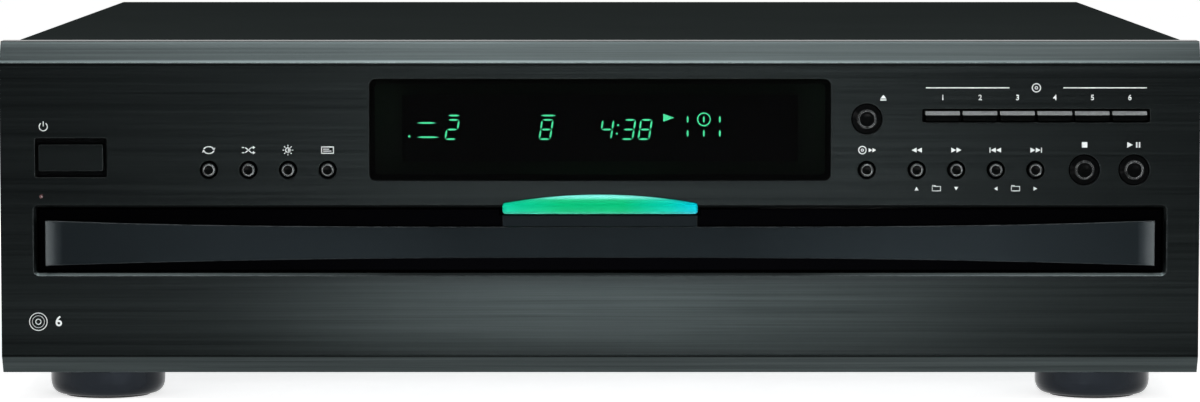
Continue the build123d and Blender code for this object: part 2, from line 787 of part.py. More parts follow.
def tray_front():
    """Drawer front: notched base plate, waisted band and a raised patch under the lens."""
    base_y = face_y + front_set_back
    half = slot_width / 2 - front_gap
    low = slot_bottom_z + front_gap
    high = slot_top_z - front_gap
    base = block(-half, half, base_y, base_y + front_plate, low, high)
    notch = lens_width / 2 + lens_clearance
    notch_z = lens_bottom_z - front_gap
    base -= block(-notch, notch, base_y - 1, base_y + front_plate + 1, notch_z, high + 1)
    ear = band_width / 2
    upper = band_edge(band_upper, 1)
    lower = band_edge(band_lower, -1)
    ends = [Line((x, band_upper[1]), (x, -band_lower[1])) for x in (ear, -ear)]
    band = front_face(make_face(Curve() + [upper, lower] + ends), 0, band_z, base_y - band_proud - flare, base_y)
    front = base_y - band_proud
    flat = ear - flare_width
    curl = [ThreePointArc((side * flat, front), (side * (ear - flare_width * 0.35), front - flare * 0.4),
                          (side * ear, front - flare)) for side in (-1, 1)]
    rest = Polyline((-ear, front - flare), (-ear, base_y + 1), (ear, base_y + 1), (ear, front - flare))
    plan = make_face(Curve() + curl + [Line((-flat, front), (flat, front)), rest])
    band &= Pos(0, 0, low) * extrude(plan, amount=high - low, dir=(0, 0, 1))
    patch = block(-lens_width / 2, lens_width / 2, base_y - patch_proud, base_y + 0.5, band_z + band_upper[0] - 1,
                  notch_z)
    return base + band + patch


def wheel_cut(r, z0, z1):
    """A round cut about the carousel's axis."""
    return disc(0, carousel_y, z0, z1, r)


def tray():
    """Drawer body: floor, walls, deck, runners, rack and the carousel's post."""
    skirt = tray_skirt_z
    body = block(-tray_half, tray_half, tray_front_y, tray_back_y, tray_floor_z, deck_z)
    inner = wheel_cut(carousel_r + 1.5, tray_floor_top_z, deck_z + 1)
    inner += block(-tray_half + tray_wall, tray_half - tray_wall, tray_front_y + tray_wall, tray_back_y - tray_wall,
                   tray_floor_top_z, deck_z - deck)
    body -= inner
    for side in (-1, 1):
        body += block(side * tray_half, side * (tray_half - tray_wall), tray_front_y, tray_back_y, skirt,
                      tray_floor_z)
        body += block(side * (tray_half - fit_gap), side * (tray_half + runner_reach), tray_front_y + runner_start,
                      tray_back_y, runner_z, runner_z + runner_height)
    body += block(-tray_half, tray_half, tray_front_y, tray_front_y + tray_wall, skirt, tray_floor_z)
    body -= block(-mech_slot_half, mech_slot_half, mech_slot_y, tray_back_y + 1, skirt - 1, deck_z + 1)
    post_top = deck_z - 1.0
    body += disc(0, carousel_y, tray_floor_z + fit_gap, post_top, post_r)
    return body + tray_rack()


def tray_rack():
    """Rack under the drawer floor, in mesh with the drive gear's pinion at rest."""
    pitch = pi * rack_module
    half = pi * rack_module / 4 * tooth_share
    root = rack_line_x + 1.25 * rack_module
    tip = rack_line_x - 0.85 * rack_module
    first = drive_y - 2.5 * pitch
    count = ceil((tray_travel + 5 * pitch) / pitch)
    points = []
    for tooth in range(count):
        y = first + tooth * pitch
        points += [(root, y - half - 0.4 * rack_module), (tip, y - half + 0.32 * rack_module),
                   (tip, y + half - 0.32 * rack_module), (root, y + half + 0.4 * rack_module)]
    back = root + 4.0
    points += [(back, points[-1][1]), (back, points[0][1])]
    bar = extrude(make_face(Polyline(*points, close=True)), amount=tray_floor_z + fit_gap - tray_skirt_z)
    return Pos(0, 0, tray_skirt_z) * bar


def tray_rails():
    """Rails on the chassis floor that hold the drawer's runners."""
    low = runner_z - seat_gap
    high = runner_z + runner_height + seat_gap
    groove = rail_in + runner_reach + seat_gap - rail_gap
    points = [(rail_in, low - 5), (rail_in, low), (groove, low), (groove, high), (rail_in, high),
              (rail_in, rail_top_z), (rail_out, rail_top_z), (rail_out, floor_top_z + 1.5),
              (rail_out + rail_foot, floor_top_z + 1.5), (rail_out + rail_foot, floor_top_z),
              (rail_out - rail_wall, floor_top_z), (rail_out - rail_wall, low - 5)]
    group = []
    for side in (-1, 1):
        outline = Polyline(*[(side * x, frame_back_y + seat_gap, z) for x, z in points], close=True)
        length = rear_y - sheet - seat_gap - frame_back_y - 4
        group.append(extrude(make_face(outline), amount=length, dir=(0, 1, 0)))
    return Compound(children=group)


# ---------------------------------------------------------------- carousel
def carousel():
    """Turning plate with six disc wells, ring gear and hub."""
    low = carousel_bottom_z
    body = disc(0, 0, low, deck_z, carousel_r)
    skirt = disc(0, 0, low - carousel_skirt, low + fit_gap, carousel_r)
    skirt -= disc(0, 0, low - carousel_skirt - 1, low + 1, carousel_r - carousel_rim)
    body += skirt
    ring = gear(ring_teeth, carousel_module, ring_height + fit_gap, ring_inner_r, -90)
    body += Pos(0, 0, ring_z) * ring
    body += disc(0, 0, tray_floor_top_z + 0.2, low + fit_gap, hub_r)
    body -= disc(0, 0, tray_floor_top_z - 1, deck_z + 1, post_r + shaft_gap)
    floor_z = deck_z - well_depth
    for step in range(wells):
        turn = Rot(0, 0, 360 / wells * step)
        cut = disc(0, well_ring_r, floor_z, deck_z + 1, well_r)
        cut += disc(0, well_ring_r, ring_z - 1, deck_z + 1, spindle_hole_r)
        cut += block(-well_slot_half, well_slot_half, well_ring_r, carousel_r + 2, ring_z - 1, deck_z + 1)
        body -= turn * cut
    return Pos(0, carousel_y, 0) * body


def carousel_cap():
    """Round cap that holds the carousel on its post."""
    cap = disc(0, carousel_y, deck_z, deck_z + cap_height, cap_r)
    cap = fillet(cap.edges().sort_by(Axis.Z)[-1], 1.2)
    return cap


def carousel_motor():
    """Flat motor on the drawer floor, in front of the ring gear."""
    top = ring_z - 0.8
    can = disc(0, carousel_motor_y, tray_floor_top_z, top, motor_r)
    tab = block(-motor_r - 6, motor_r + 6, carousel_motor_y - 4, carousel_motor_y + 4, tray_floor_top_z,
                tray_floor_top_z + 1.2)
    return can + tab + disc(0, carousel_motor_y, top - 1, ring_z + ring_height - 0.2, motor_shaft_r)


def carousel_pinion():
    """Pinion on the carousel motor's shaft, in mesh with the ring gear."""
    turn = 90 + 180 / carousel_pinion_teeth
    wheel = gear(carousel_pinion_teeth, carousel_module, ring_height - 0.5, motor_shaft_r + shaft_gap, turn)
    return Pos(0, carousel_motor_y, ring_z) * wheel


# ---------------------------------------------------------------- loading drive
def pulley_wheel(r, bore):
    """A flanged pulley whose groove holds the belt, its groove floor on Z = 0."""
    wheel = disc(0, 0, -pulley_flange, belt_height + pulley_flange, r + belt_thickness)
    groove = disc(0, 0, 0, belt_height, r + 2 * belt_thickness) - disc(0, 0, -1, belt_height + 1, r)
    return wheel - groove - disc(0, 0, -2, belt_height + 2, bore)


def loading_motor():
    """Motor that moves the drawer, upright on the chassis floor."""
    top = belt_z - pulley_flange - 2.0
    can = disc(motor_x, drive_y, floor_top_z, top, motor_r)
    can = chamfer(can.edges().sort_by(Axis.Z)[-1], 1.0)
    return can + disc(motor_x, drive_y, top - 1, belt_z + belt_height + 1.5, motor_shaft_r)


def motor_pulley():
    """Small pulley on the loading motor."""
    return Pos(motor_x, drive_y, belt_z) * pulley_wheel(motor_pulley_r, motor_shaft_r + shaft_gap)


def pulley_gear():
    """Large pulley with a pinion on top."""
    pinion_z = drive_gear_z - belt_z
    turn = 180 / pulley_pinion_teeth
    wheel = pulley_wheel(pulley_r, axle_r + shaft_gap)
    wheel += disc(0, 0, belt_height, pinion_z + fit_gap, pulley_pinion_r - 1.5) - disc(0, 0, 0, 9, axle_r + shaft_gap)
    pinion = gear(pulley_pinion_teeth, loading_module, gear_face, axle_r + shaft_gap, turn)
    return Pos(pulley_x, drive_y, belt_z) * (wheel + Pos(0, 0, pinion_z) * pinion)


def drive_gear():
    """Large gear with the pinion that drives the drawer's rack."""
    bore = axle_r + shaft_gap
    wheel = gear(drive_teeth, loading_module, gear_face, bore, 180)
    pinion_top = tray_floor_z - seat_gap - drive_gear_z
    pinion = gear(drive_pinion_teeth, rack_module, pinion_top - gear_face, bore, 0)
    return Pos(drive_x, drive_y, drive_gear_z) * (wheel + Pos(0, 0, gear_face) * pinion)


def belt_outline(grow):
    """Outline of a belt round both pulleys, grown by grow."""
    small = motor_pulley_r + grow
    large = pulley_r + grow
    lean = atan2(large - small, sqrt(belt_centres ** 2 - (large - small) ** 2))
    up = pi / 2 + lean
    touch = [(motor_x + small * cos(up), small * sin(up)), (pulley_x + large * cos(up), large * sin(up))]
    lines = [Line((x0, y0), (x1, y1)) for (x0, y0), (x1, y1) in
             [(touch[0], touch[1]), ((touch[0][0], -touch[0][1]), (touch[1][0], -touch[1][1]))]]
    left = ThreePointArc(touch[0], (motor_x - small, 0), (touch[0][0], -touch[0][1]))
    right = ThreePointArc(touch[1], (pulley_x + large, 0), (touch[1][0], -touch[1][1]))
    return make_face(Curve() + lines + [left, right])


def loading_belt():
    """Rubber belt round the two pulleys."""
    height = belt_height - 2 * fit_gap
    face = belt_outline(fit_gap + belt_thickness) - belt_outline(fit_gap)
    return Pos(0, drive_y, belt_z + fit_gap) * extrude(face, amount=height, dir=(0, 0, 1))


# ---------------------------------------------------------------- playing mechanism
def cam_slot(y, z0, z1, run):
    """Side outline of a slot for a lift pin, from (y, z0) to (y + run, z1), with its ends a little longer."""
    half = pin_r + cam_gap
    lean = atan2(z1 - z0, run)
    along = (cos(lean), sin(lean))
    across = (-sin(lean), cos(lean))
    reach = half + 1.0
    corners = []
    for end, side in ((-1, -1), (1, -1), (1, 1), (-1, 1)):
        base = (y, z0) if end < 0 else (y + run, z1)
        corners.append((base[0] + end * reach * along[0] + side * half * across[0],
                        base[1] + end * reach * along[1] + side * half * across[1]))
    return corners


def mech_base():
    """Base plate of the playing mechanism with two posts that guide the lift pins."""
    low = floor_top_z
    body = block(-base_half, base_half, base_front_y, base_back_y, low, low + base_sheet)
    half = pin_r + cam_gap
    for side in (-1, 1):
        outer = side * (base_half - 1.0)
        post = block(outer, outer - side * post_sheet, pin_ys[0] - 9, pin_ys[1] + 9, low, pin_z + lift + 4.5)
        for y in pin_ys:
            post -= block(outer + side, outer - side * (post_sheet + 1), y - half, y + half, pin_z - half - 1,
                          pin_z + lift + half + 1)
        body += post
    return body


def lift_slider():
    """Slider whose sloped slots raise the traverse."""
    low = floor_top_z + base_sheet + seat_gap
    body = block(-cheek_half, cheek_half, slider_front_y, slider_back_y, low, low + slider_sheet)
    run = lift * lift_slope
    for side in (-1, 1):
        outer = side * cheek_half
        cheek = block(outer, outer - side * slider_sheet, slider_front_y, slider_back_y, low, pin_z + lift + 4.5)
        for y in pin_ys:
            ends = sorted((outer + side, outer - side * (slider_sheet + 1)))
            cheek -= side_face(cam_slot(y, pin_z, pin_z + lift, run), *ends)
        body += cheek
    return body


def traverse_frame():
    """Frame that carries spindle, pickup and motors, with its four lift pins."""
    top = plate_top_z
    body = block(-frame_half, frame_half, traverse_front_y, traverse_back_y, top - plate, top)
    body -= block(-window_half, window_half, window_front_y, window_back_y, top - plate - 1, top + 1)
    for side in (-1, 1):
        wall = block(side * frame_half, side * (frame_half - frame_wall), traverse_front_y, traverse_back_y,
                     frame_wall_z, top - plate + fit_gap)
        body += wall
        for y in pin_ys:
            ends = sorted((side * (frame_half - 1), side * (base_half - 0.5)))
            body += cross_rod(*ends, y, pin_z, pin_r)
    shelf_top = sled_gear_z - 1.0
    body += block(sled_x - sled_motor_r, frame_half - 1, sled_y - sled_motor_r, sled_y + sled_motor_r,
                  shelf_top - bracket, shelf_top)
    body -= disc(sled_x, sled_y, shelf_top - bracket - 1, shelf_top + 1, 2 * motor_shaft_r)
    body -= disc(0, disc_y, top - plate - 1, top + 1, 3 * spindle_r)
    for x in (-rod_x, rod_x):
        body -= rod(x, rod_z, window_front_y - 6, window_back_y + 6, rod_r + shaft_gap)
    return body


def traverse_motors():
    """Spindle motor under the disc hub and sled motor under its gear, each with its shaft."""
    top = plate_top_z - plate
    spindle = disc(0, disc_y, top - spindle_motor_height, top, spindle_motor_r)
    spindle += disc(0, disc_y, top - 1, disc_seat_z, spindle_r)
    shelf = sled_gear_z - 1.0 - bracket
    sled = disc(sled_x, sled_y, shelf - sled_motor_height, shelf, sled_motor_r)
    sled += disc(sled_x, sled_y, shelf - 1, sled_gear_z + sled_gear_face + 0.5, motor_shaft_r)
    return Compound(children=[spindle, sled])


def disc_hub():
    """Turntable with a centring cone."""
    seat = disc_seat_z
    body = disc(0, disc_y, seat - turntable, seat, turntable_r)
    cone = Pos(0, disc_y, seat + cone_height / 2) * Cone(cone_r, cone_r - 2.0, cone_height)
    collar = disc(0, disc_y, plate_top_z + 1.2, seat - turntable + fit_gap, 4.5)
    body = body + cone + collar
    return body - disc(0, disc_y, plate_top_z, seat + fit_gap, spindle_r + shaft_gap)


def guide_rods():
    """Two steel rods that the pickup slides on."""
    ends = (window_front_y - 5, window_back_y + 5)
    return Compound(children=[rod(x, rod_z, *ends, rod_r) for x in (-rod_x, rod_x)])


def pickup():
    """Laser pickup: body, objective lens, rod bearings and rack."""
    y0 = pickup_y - pickup_half_length
    y1 = pickup_y + pickup_half_length
    low = sled_gear_z + sled_gear_face
    body = block(-pickup_half, pickup_half, y0, y1, low, pickup_top_z)
    body = chamfer(body.edges().filter_by(Axis.Z), 1.5)
    body += block(-rod_x - 2.6, rod_x + 2.6, y0 + 5, y1 - 5, rod_z - 2.6, rod_z + 2.6)
    body += disc(0, pickup_y, pickup_top_z - 1, lens_top_z - 0.6, 6.0)
    body += Pos(0, pickup_y, lens_top_z - 3.2) * Sphere(3.2)
    for x in (-rod_x, rod_x):
        body -= rod(x, rod_z, y0, y1, rod_r + shaft_gap)
    return body + pickup_rack()


def pickup_rack():
    """Rack under the pickup, in mesh with the sled gear at rest."""
    pitch = pi * sled_module
    half = pi * sled_module / 4 * tooth_share
    root = sled_rack_x - 1.25 * sled_module
    tip = sled_rack_x + 0.85 * sled_module
    before = ceil((pickup_travel + 2.0) / pitch) + 1
    points = []
    for tooth in range(-before, 2):
        y = sled_y + (tooth + 0.5) * pitch
        points += [(root, y - half - 0.4 * sled_module), (tip, y - half + 0.32 * sled_module),
                   (tip, y + half - 0.32 * sled_module), (root, y + half + 0.4 * sled_module)]
    back = root - 3.0
    points += [(back, points[-1][1]), (back, points[0][1])]
    bar = extrude(make_face(Polyline(*points, close=True)), amount=sled_gear_face + fit_gap)
    return Pos(0, 0, sled_gear_z) * bar


def sled_gear():
    """Gear on the sled motor that drives the pickup's rack."""
    wheel = gear(sled_teeth, sled_module, sled_gear_face - 0.4, motor_shaft_r + shaft_gap, 180)
    return Pos(sled_x, sled_y, sled_gear_z) * wheel


def clamp_bridge():
    """Bridge over the carousel, standing on the rails, with the clamper's hole."""
    edge = rail_out
    body = block(-edge, edge, bridge_front_y, bridge_back_y, bridge_z, bridge_top_z)
    for side in (-1, 1):
        body += block(side * edge, side * (edge - rail_wall), bridge_front_y, bridge_back_y, rail_top_z, bridge_z)
    for y in (bridge_front_y, bridge_back_y - bridge_sheet):
        body += block(-edge, edge, y, y + bridge_sheet, bridge_top_z, bridge_top_z + 4)
    return body - disc(0, disc_y, bridge_z - 1, bridge_top_z + 5, clamper_neck_r + 1.0)


def clamper():
    """Disc clamper that hangs in the bridge and takes the hub's cone."""
    top = clamper_z + clamper_height
    flange_z = bridge_top_z + seat_gap
    body = disc(0, disc_y, clamper_z, top, clamper_r) + disc(0, disc_y, top - 1, flange_z + 1, clamper_neck_r)
    body += disc(0, disc_y, flange_z, flange_z + clamper_flange, clamper_flange_r)
    return body - disc(0, disc_y, clamper_z - 1, clamper_z + cone_height + 0.6, clamper_bore_r)


# ---------------------------------------------------------------- electronics and rear
def main_board_body():
    """Main circuit board on its standoffs."""
    x0, x1, y0, y1 = main_board
    return block(x0, x1, y0, y1, main_board_z, main_board_z + board)


def board_parts():
    """Capacitors, chips, a heat sink and plugs on the main board."""
    top = main_board_z + board
    x0, x1, y0, y1 = main_board
    group = []
    small_r, small_height = capacitor
    for row in range(2):
        for step in range(5):
            x = x0 + capacitor_pitch[0] * (step + 10 / 7)
            y = y0 + capacitor_pitch[1] * (row + 11 / 8)
            group.append(disc(x, y, top, top + small_height * (1 + row * 3 / 14), small_r * (1 + row * 2 / 9)))
    width, depth, height = chip
    chip_y = y1 - 156.0
    for step in range(3):
        x = x0 + 13 + chip_pitch * step
        group.append(block(x, x + width, chip_y, chip_y + depth, top, top + height))
    width, depth, height = sink
    sink_x, sink_y = x1 - width - 8.0, y1 - 106.0
    cooler = block(sink_x, sink_x + width, sink_y, sink_y + depth * 3 / 7, top, top + height)
    for step in range(5):
        x = sink_x + fin_pitch * step
        cooler += block(x, x + fin, sink_y, sink_y + depth, top, top + height)
    group.append(cooler)
    width, depth, height = plug
    plug_y = y1 - 204.0
    for step in range(4):
        x = x0 + plug_pitch * step + width / 2
        group.append(block(x, x + width, plug_y, plug_y + depth, top, top + height))
    return Compound(children=group)


def transformer():
    """Mains transformer: core, winding and feet."""
    width, depth, height = transformer_size
    x, y, low = transformer_x, transformer_y, floor_top_z
    core = block(x - width / 2, x + width / 2, y - depth / 4, y + depth / 4, low + 1.5, low + height)
    coil = block(x - width / 4, x + width / 4, y - depth / 2, y + depth / 2, low + 6, low + height - 6)
    coil = fillet(coil.edges().filter_by(Axis.Z), 5.0)
    base = block(x - width / 2 - 9, x + width / 2 + 9, y - 9, y + 9, low, low + 1.5)
    return core + coil + base


def jack_shell(x):
    """One round socket with its hollow contact, on a collar that fills the rear panel's hole."""
    shell = rod(x, connector_z, rear_y + jack_collar - 0.5, rear_y + jack_reach, jack_r)
    shell += rod(x, connector_z, rear_y - sheet - fit_gap, rear_y + jack_collar, jack_collar_r)
    return shell - rod(x, connector_z, rear_y, rear_y + jack_reach + 1, jack_pin_r)


def socket_block(x0, x1):
    """Block behind the sockets that stands on the main board."""
    back = rear_y - sheet
    return block(x0, x1, back - block_depth, back, main_board_z + board, connector_z + jack_pitch / 2)


def audio_jacks():
    """Pair of round output sockets on a block that stands on the main board."""
    body = socket_block(min(jack_xs) - jack_pitch / 2, max(jack_xs) + jack_pitch / 2)
    for x in jack_xs:
        body += jack_shell(x)
    return body


def digital_jacks():
    """Round and square digital outputs on their block."""
    coax, optical = digital_xs
    body = socket_block(coax - jack_pitch / 2, optical + jack_pitch / 2)
    body += jack_shell(coax)
    half = optical_size / 2
    body += block(optical - half, optical + half, rear_y - sheet - fit_gap, rear_y + 1.2, connector_z - half,
                  connector_z + half)
    mouth = optical_mouth / 2
    body -= block(optical - mouth, optical + mouth, rear_y - 5, rear_y + 2, connector_z - mouth, connector_z + mouth)
    return body


def power_inlet():
    """Two-pin mains inlet, held behind the rear panel with its mouth in the opening."""
    width, height = inlet_size
    back = rear_y - sheet
    low = connector_z - height / 2
    high = connector_z + height / 2
    body = block(inlet_x - width / 2, inlet_x + width / 2, back - 16, back, low, high)
    body += block(inlet_x - 10, inlet_x + 10, back - 14, back - 4, floor_top_z, low)
    mouth = RectangleRounded(width - 4.4, height - 4.4, 1.8)
    body += front_face(mouth, inlet_x, connector_z, back - 1, rear_y + 1.5)
    body -= front_face(SlotOverall(*inlet_mouth), inlet_x, connector_z, back - inlet_depth, rear_y + 2)
    for x in (-inlet_pin_x, inlet_pin_x):
        body += rod(inlet_x + x, connector_z, back - inlet_depth - 1, back - 1, inlet_pin_r)
    return body


# ---------------------------------------------------------------- every node
def nodes():
    """All nodes by name."""
    named = {}
    for name, x, z, r in button_spots():
        rim = large_rim if r == large_hole_r else small_rim
        named[name] = round_button(x, z, r, rim)
    for number, x in enumerate(disc_button_xs(), start=1):
        named[f"disc_button_{number}"] = disc_button(x)
    makers = [power_button, bottom_chassis, top_cover, rear_panel, front_panel, front_frame, display_window,
              light_lens, feet, foot_pads, case_screws, front_board, key_switches, display_tube, board_parts,
              transformer, power_inlet, audio_jacks, digital_jacks, tray_rails, loading_motor, loading_belt,
              mech_base, clamp_bridge, motor_pulley, pulley_gear, drive_gear, tray, tray_front, carousel,
              carousel_cap, carousel_motor, carousel_pinion, lift_slider, traverse_frame, traverse_motors, disc_hub,
              pickup, guide_rods, clamper, sled_gear]
    for maker in makers:
        named[maker.__name__] = maker()
    named["main_board"] = main_board_body()
    return named


os.makedirs("parts", exist_ok=True)
for node, shape in nodes().items():
    export_step(shape, f"parts/{node}.step")
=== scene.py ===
from math import cos, pi, radians, sin, tan

import bmesh
import bpy
from mathutils import Matrix, Vector


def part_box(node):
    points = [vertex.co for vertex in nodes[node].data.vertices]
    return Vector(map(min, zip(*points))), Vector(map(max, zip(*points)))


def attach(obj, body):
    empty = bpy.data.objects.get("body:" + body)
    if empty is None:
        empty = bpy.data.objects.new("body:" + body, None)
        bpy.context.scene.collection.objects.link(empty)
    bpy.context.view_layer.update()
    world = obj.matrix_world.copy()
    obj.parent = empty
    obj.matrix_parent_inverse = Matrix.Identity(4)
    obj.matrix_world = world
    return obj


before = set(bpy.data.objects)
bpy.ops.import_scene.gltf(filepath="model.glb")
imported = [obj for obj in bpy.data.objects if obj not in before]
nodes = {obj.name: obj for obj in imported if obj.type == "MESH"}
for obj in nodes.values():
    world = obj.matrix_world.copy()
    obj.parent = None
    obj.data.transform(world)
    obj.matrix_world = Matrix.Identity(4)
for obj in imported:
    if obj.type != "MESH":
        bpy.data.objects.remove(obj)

MM = 0.001
X, Y, Z = 0, 1, 2
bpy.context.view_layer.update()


# ---- places read from the frame
def middle(node):
    """Middle of a node's box."""
    low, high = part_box(node)
    return (low + high) / 2


panel_low, panel_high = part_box("front_panel")
face_y = panel_low.y
rear_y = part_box("rear_panel")[1].y
window = middle("display_window")
tube_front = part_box("display_tube")[0].y
lens_low, lens_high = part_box("light_lens")
carousel = middle("carousel")
carousel_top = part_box("carousel")[1].z
wells = 6
small_buttons = ["repeat", "random", "dimmer", "display"]
search_buttons = ["search_back", "search_forward", "track_back", "track_forward"]
disc_buttons = [f"disc_button_{number}" for number in range(1, wells + 1)]


# ---- node helpers
def put(tree, kind, settings=None, **sockets):
    """Adds a node. Sockets are given by name, or as s0, s1 by place, and take a value or another socket."""
    node = tree.nodes.new(kind)
    for key, value in (settings or {}).items():
        setattr(node, key, value)
    for key, value in sockets.items():
        place = int(key[1:]) if key[0] == "s" and key[1:].isdigit() else key.replace("_", " ")
        target = node.inputs[place]
        if isinstance(value, bpy.types.NodeSocket):
            tree.links.new(value, target)
        else:
            target.default_value = value
    return node


def calc(tree, operation, first, second=0.0, clamp=False):
    """One Math node's result."""
    settings = {"operation": operation, "use_clamp": clamp}
    return put(tree, "ShaderNodeMath", settings, s0=first, s1=second).outputs[0]


def spread(tree, value, low, high, to_low, to_high):
    """A value mapped from one range to another, held at its ends."""
    return put(tree, "ShaderNodeMapRange", Value=value, From_Min=low, From_Max=high, To_Min=to_low,
               To_Max=to_high).outputs[0]


def blend(tree, factor, first, second):
    """A mix of two colours."""
    return put(tree, "ShaderNodeMix", {"data_type": "RGBA"}, s0=factor, s6=first, s7=second).outputs[2]


def scaled(tree, vector, scale):
    """A vector or colour times a number."""
    return put(tree, "ShaderNodeVectorMath", {"operation": "SCALE"}, s0=vector, Scale=scale).outputs[0]


def axis_of(tree, vector, axis):
    """One part of a vector."""
    return put(tree, "ShaderNodeSeparateXYZ", s0=vector).outputs[axis]


def noise(tree, place, **values):
    """Fractal noise about 0.5."""
    return put(tree, "ShaderNodeTexNoise", Vector=place, **values).outputs[0]


def ramp(tree, value, stops):
    """A value's colour on a ramp with stops of (place, colour)."""
    node = put(tree, "ShaderNodeValToRGB", Fac=value)
    band = node.color_ramp
    while len(band.elements) > 1:
        band.elements.remove(band.elements[-1])
    band.elements[0].position = stops[0][0]
    band.elements[0].color = rgb(*stops[0][1])
    for place, colour in stops[1:]:
        band.elements.new(place).color = rgb(*colour)
    return node.outputs[0]


def rgb(red, green, blue):
    """A colour in the renderer's linear values, as a socket takes it."""
    return (red, green, blue, 1.0)


def node_group(kind, name, inputs, outputs):
    """An empty node group with named sockets, what it is given and what it gives."""
    group = bpy.data.node_groups.new(name, kind)
    for label, sort, value in inputs:
        socket = group.interface.new_socket(label, in_out="INPUT", socket_type="NodeSocket" + sort)
        if value is not None:
            socket.default_value = value
    for label, sort in outputs:
        group.interface.new_socket(label, in_out="OUTPUT", socket_type="NodeSocket" + sort)
    return group, group.nodes.new("NodeGroupInput").outputs, group.nodes.new("NodeGroupOutput").inputs


# ---- effects that several finishes share
BAND_SHARE = 0.22              # how often bands come, against the scratches among them
SAMPLES = 6                    # rays that find an edge
CHIP_SCALE = 420.0             # how finely the edge tone, abrasion and painted edge light alike, breaks up along an edge


def make_brushing():
    """Long fine scratches along X, as a brush leaves them, with broader bands among them."""
    inputs = [("Vector", "Vector", None), ("Along", "Float", 6.0), ("Across", "Float", 2600.0)]
    group, given, out = node_group("ShaderNodeTree", "brushing", inputs, [("Streak", "Float")])
    size = put(group, "ShaderNodeCombineXYZ", X=given["Along"], Y=given["Across"], Z=given["Across"])
    stretched = put(group, "ShaderNodeVectorMath", {"operation": "MULTIPLY"}, s0=given["Vector"],
                    s1=size.outputs[0]).outputs[0]
    fine = noise(group, stretched, Scale=1.0, Detail=3.0, Roughness=0.6)
    band = noise(group, scaled(group, stretched, BAND_SHARE), Scale=1.0, Detail=2.0, Roughness=0.5)
    mixed = calc(group, "MULTIPLY", calc(group, "ADD", fine, band), 0.5)
    group.links.new(spread(group, mixed, 0.3, 0.7, 0.0, 1.0), out["Streak"])
    return group


def make_grain():
    """Even fine noise of a chosen size, as a moulded or painted skin has."""
    inputs = [("Vector", "Vector", None), ("Scale", "Float", 1500.0), ("Detail", "Float", 2.0)]
    group, given, out = node_group("ShaderNodeTree", "grain", inputs, [("Value", "Float")])
    fine = noise(group, given["Vector"], Scale=given["Scale"], Detail=given["Detail"], Roughness=0.55)
    group.links.new(spread(group, fine, 0.3, 0.7, 0.0, 1.0), out["Value"])
    return group


def make_handling():
    """Broad soft patches where a surface was wiped or handled, with thin dust in between."""
    inputs = [("Vector", "Vector", None), ("Scale", "Float", 14.0)]
    group, given, out = node_group("ShaderNodeTree", "handling", inputs, [("Patch", "Float")])
    broad = noise(group, given["Vector"], Scale=given["Scale"], Detail=4.0, Roughness=0.6, Distortion=0.4)
    group.links.new(spread(group, broad, 0.35, 0.65, 0.0, 1.0), out["Patch"])
    return group


def make_edges():
    """Rounds sharp edges for the light, and finds them for an edge tone: abrasion on some finishes, a painted
    edge highlight, glint or edge shade on others.
    """
    inputs = [("Vector", "Vector", None), ("Radius", "Float", 0.0004), ("Amount", "Float", 0.5)]
    outputs = [("Worn_And_Lit", "Float"), ("Normal", "Vector")]
    group, given, out = node_group("ShaderNodeTree", "edges", inputs, outputs)
    bevel = put(group, "ShaderNodeBevel", {"samples": SAMPLES}, Radius=given["Radius"])
    flat = group.nodes.new("ShaderNodeNewGeometry").outputs["True Normal"]
    turn = put(group, "ShaderNodeVectorMath", {"operation": "DOT_PRODUCT"}, s0=bevel.outputs[0], s1=flat)
    bent = calc(group, "SUBTRACT", 1.0, turn.outputs["Value"])
    broken = noise(group, given["Vector"], Scale=CHIP_SCALE, Detail=3.0)
    mask = calc(group, "MULTIPLY", spread(group, bent, 0.01, 0.12, 0.0, 1.0),
                spread(group, broken, 0.35, 0.6, 0.25, 1.0))
    group.links.new(calc(group, "MULTIPLY", mask, given["Amount"], True), out["Worn_And_Lit"])
    group.links.new(bevel.outputs[0], out["Normal"])
    return group


brushing = make_brushing()
grain = make_grain()
handling = make_handling()
edges = make_edges()


# ---- finishes
class Finish:
    """A material being made: its nodes, its Principled shader and the piece's own coordinates."""

    def __init__(self, name, **constants):
        self.name = name
        self.material = bpy.data.materials.new(name)
        self.material.use_nodes = True
        self.tree = self.material.node_tree
        self.shader = self.tree.nodes["Principled BSDF"]
        self.spot = self.tree.nodes.new("ShaderNodeTexCoord").outputs["Object"]
        for key, value in constants.items():
            self.shader.inputs[key.replace("_", " ")].default_value = value

    def use(self, group, **sockets):
        """Places an effect group, fed with the piece's coordinates."""
        node = put(self.tree, "ShaderNodeGroup", {"node_tree": group})
        self.tree.links.new(self.spot, node.inputs["Vector"])
        for key, value in sockets.items():
            node.inputs[key].default_value = value
        return node.outputs

    def feed(self, key, socket):
        """Links a socket to one of the shader's own."""
        self.tree.links.new(socket, self.shader.inputs[key.replace("_", " ")])

    def bump(self, height, depth, normal=None, strength=1.0):
        """Relief of a real depth in metres over a height from 0 to 1."""
        node = put(self.tree, "ShaderNodeBump", Height=height, Distance=depth, Strength=strength)
        if normal is not None:
            self.tree.links.new(normal, node.inputs["Normal"])
        self.feed("Normal", node.outputs[0])

    def at(self, axis):
        """Place of the surface along one axis."""
        return axis_of(self.tree, self.spot, axis)

    def within(self, axis, rise, fall):
        """1 between two ramps along an axis, each given as (start, end), and 0 outside them."""
        up = spread(self.tree, self.at(axis), *rise, 0.0, 1.0)
        down = spread(self.tree, self.at(axis), *fall, 1.0, 0.0)
        return calc(self.tree, "MULTIPLY", up, down)

    def base(self):
        """What feeds the base colour so far."""
        return self.shader.inputs["Base Color"].links[0].from_socket

    def paint(self, mask, colour):
        """Lays a colour over the base colour where the mask is 1."""
        self.feed("Base_Color", blend(self.tree, mask, self.base(), colour))


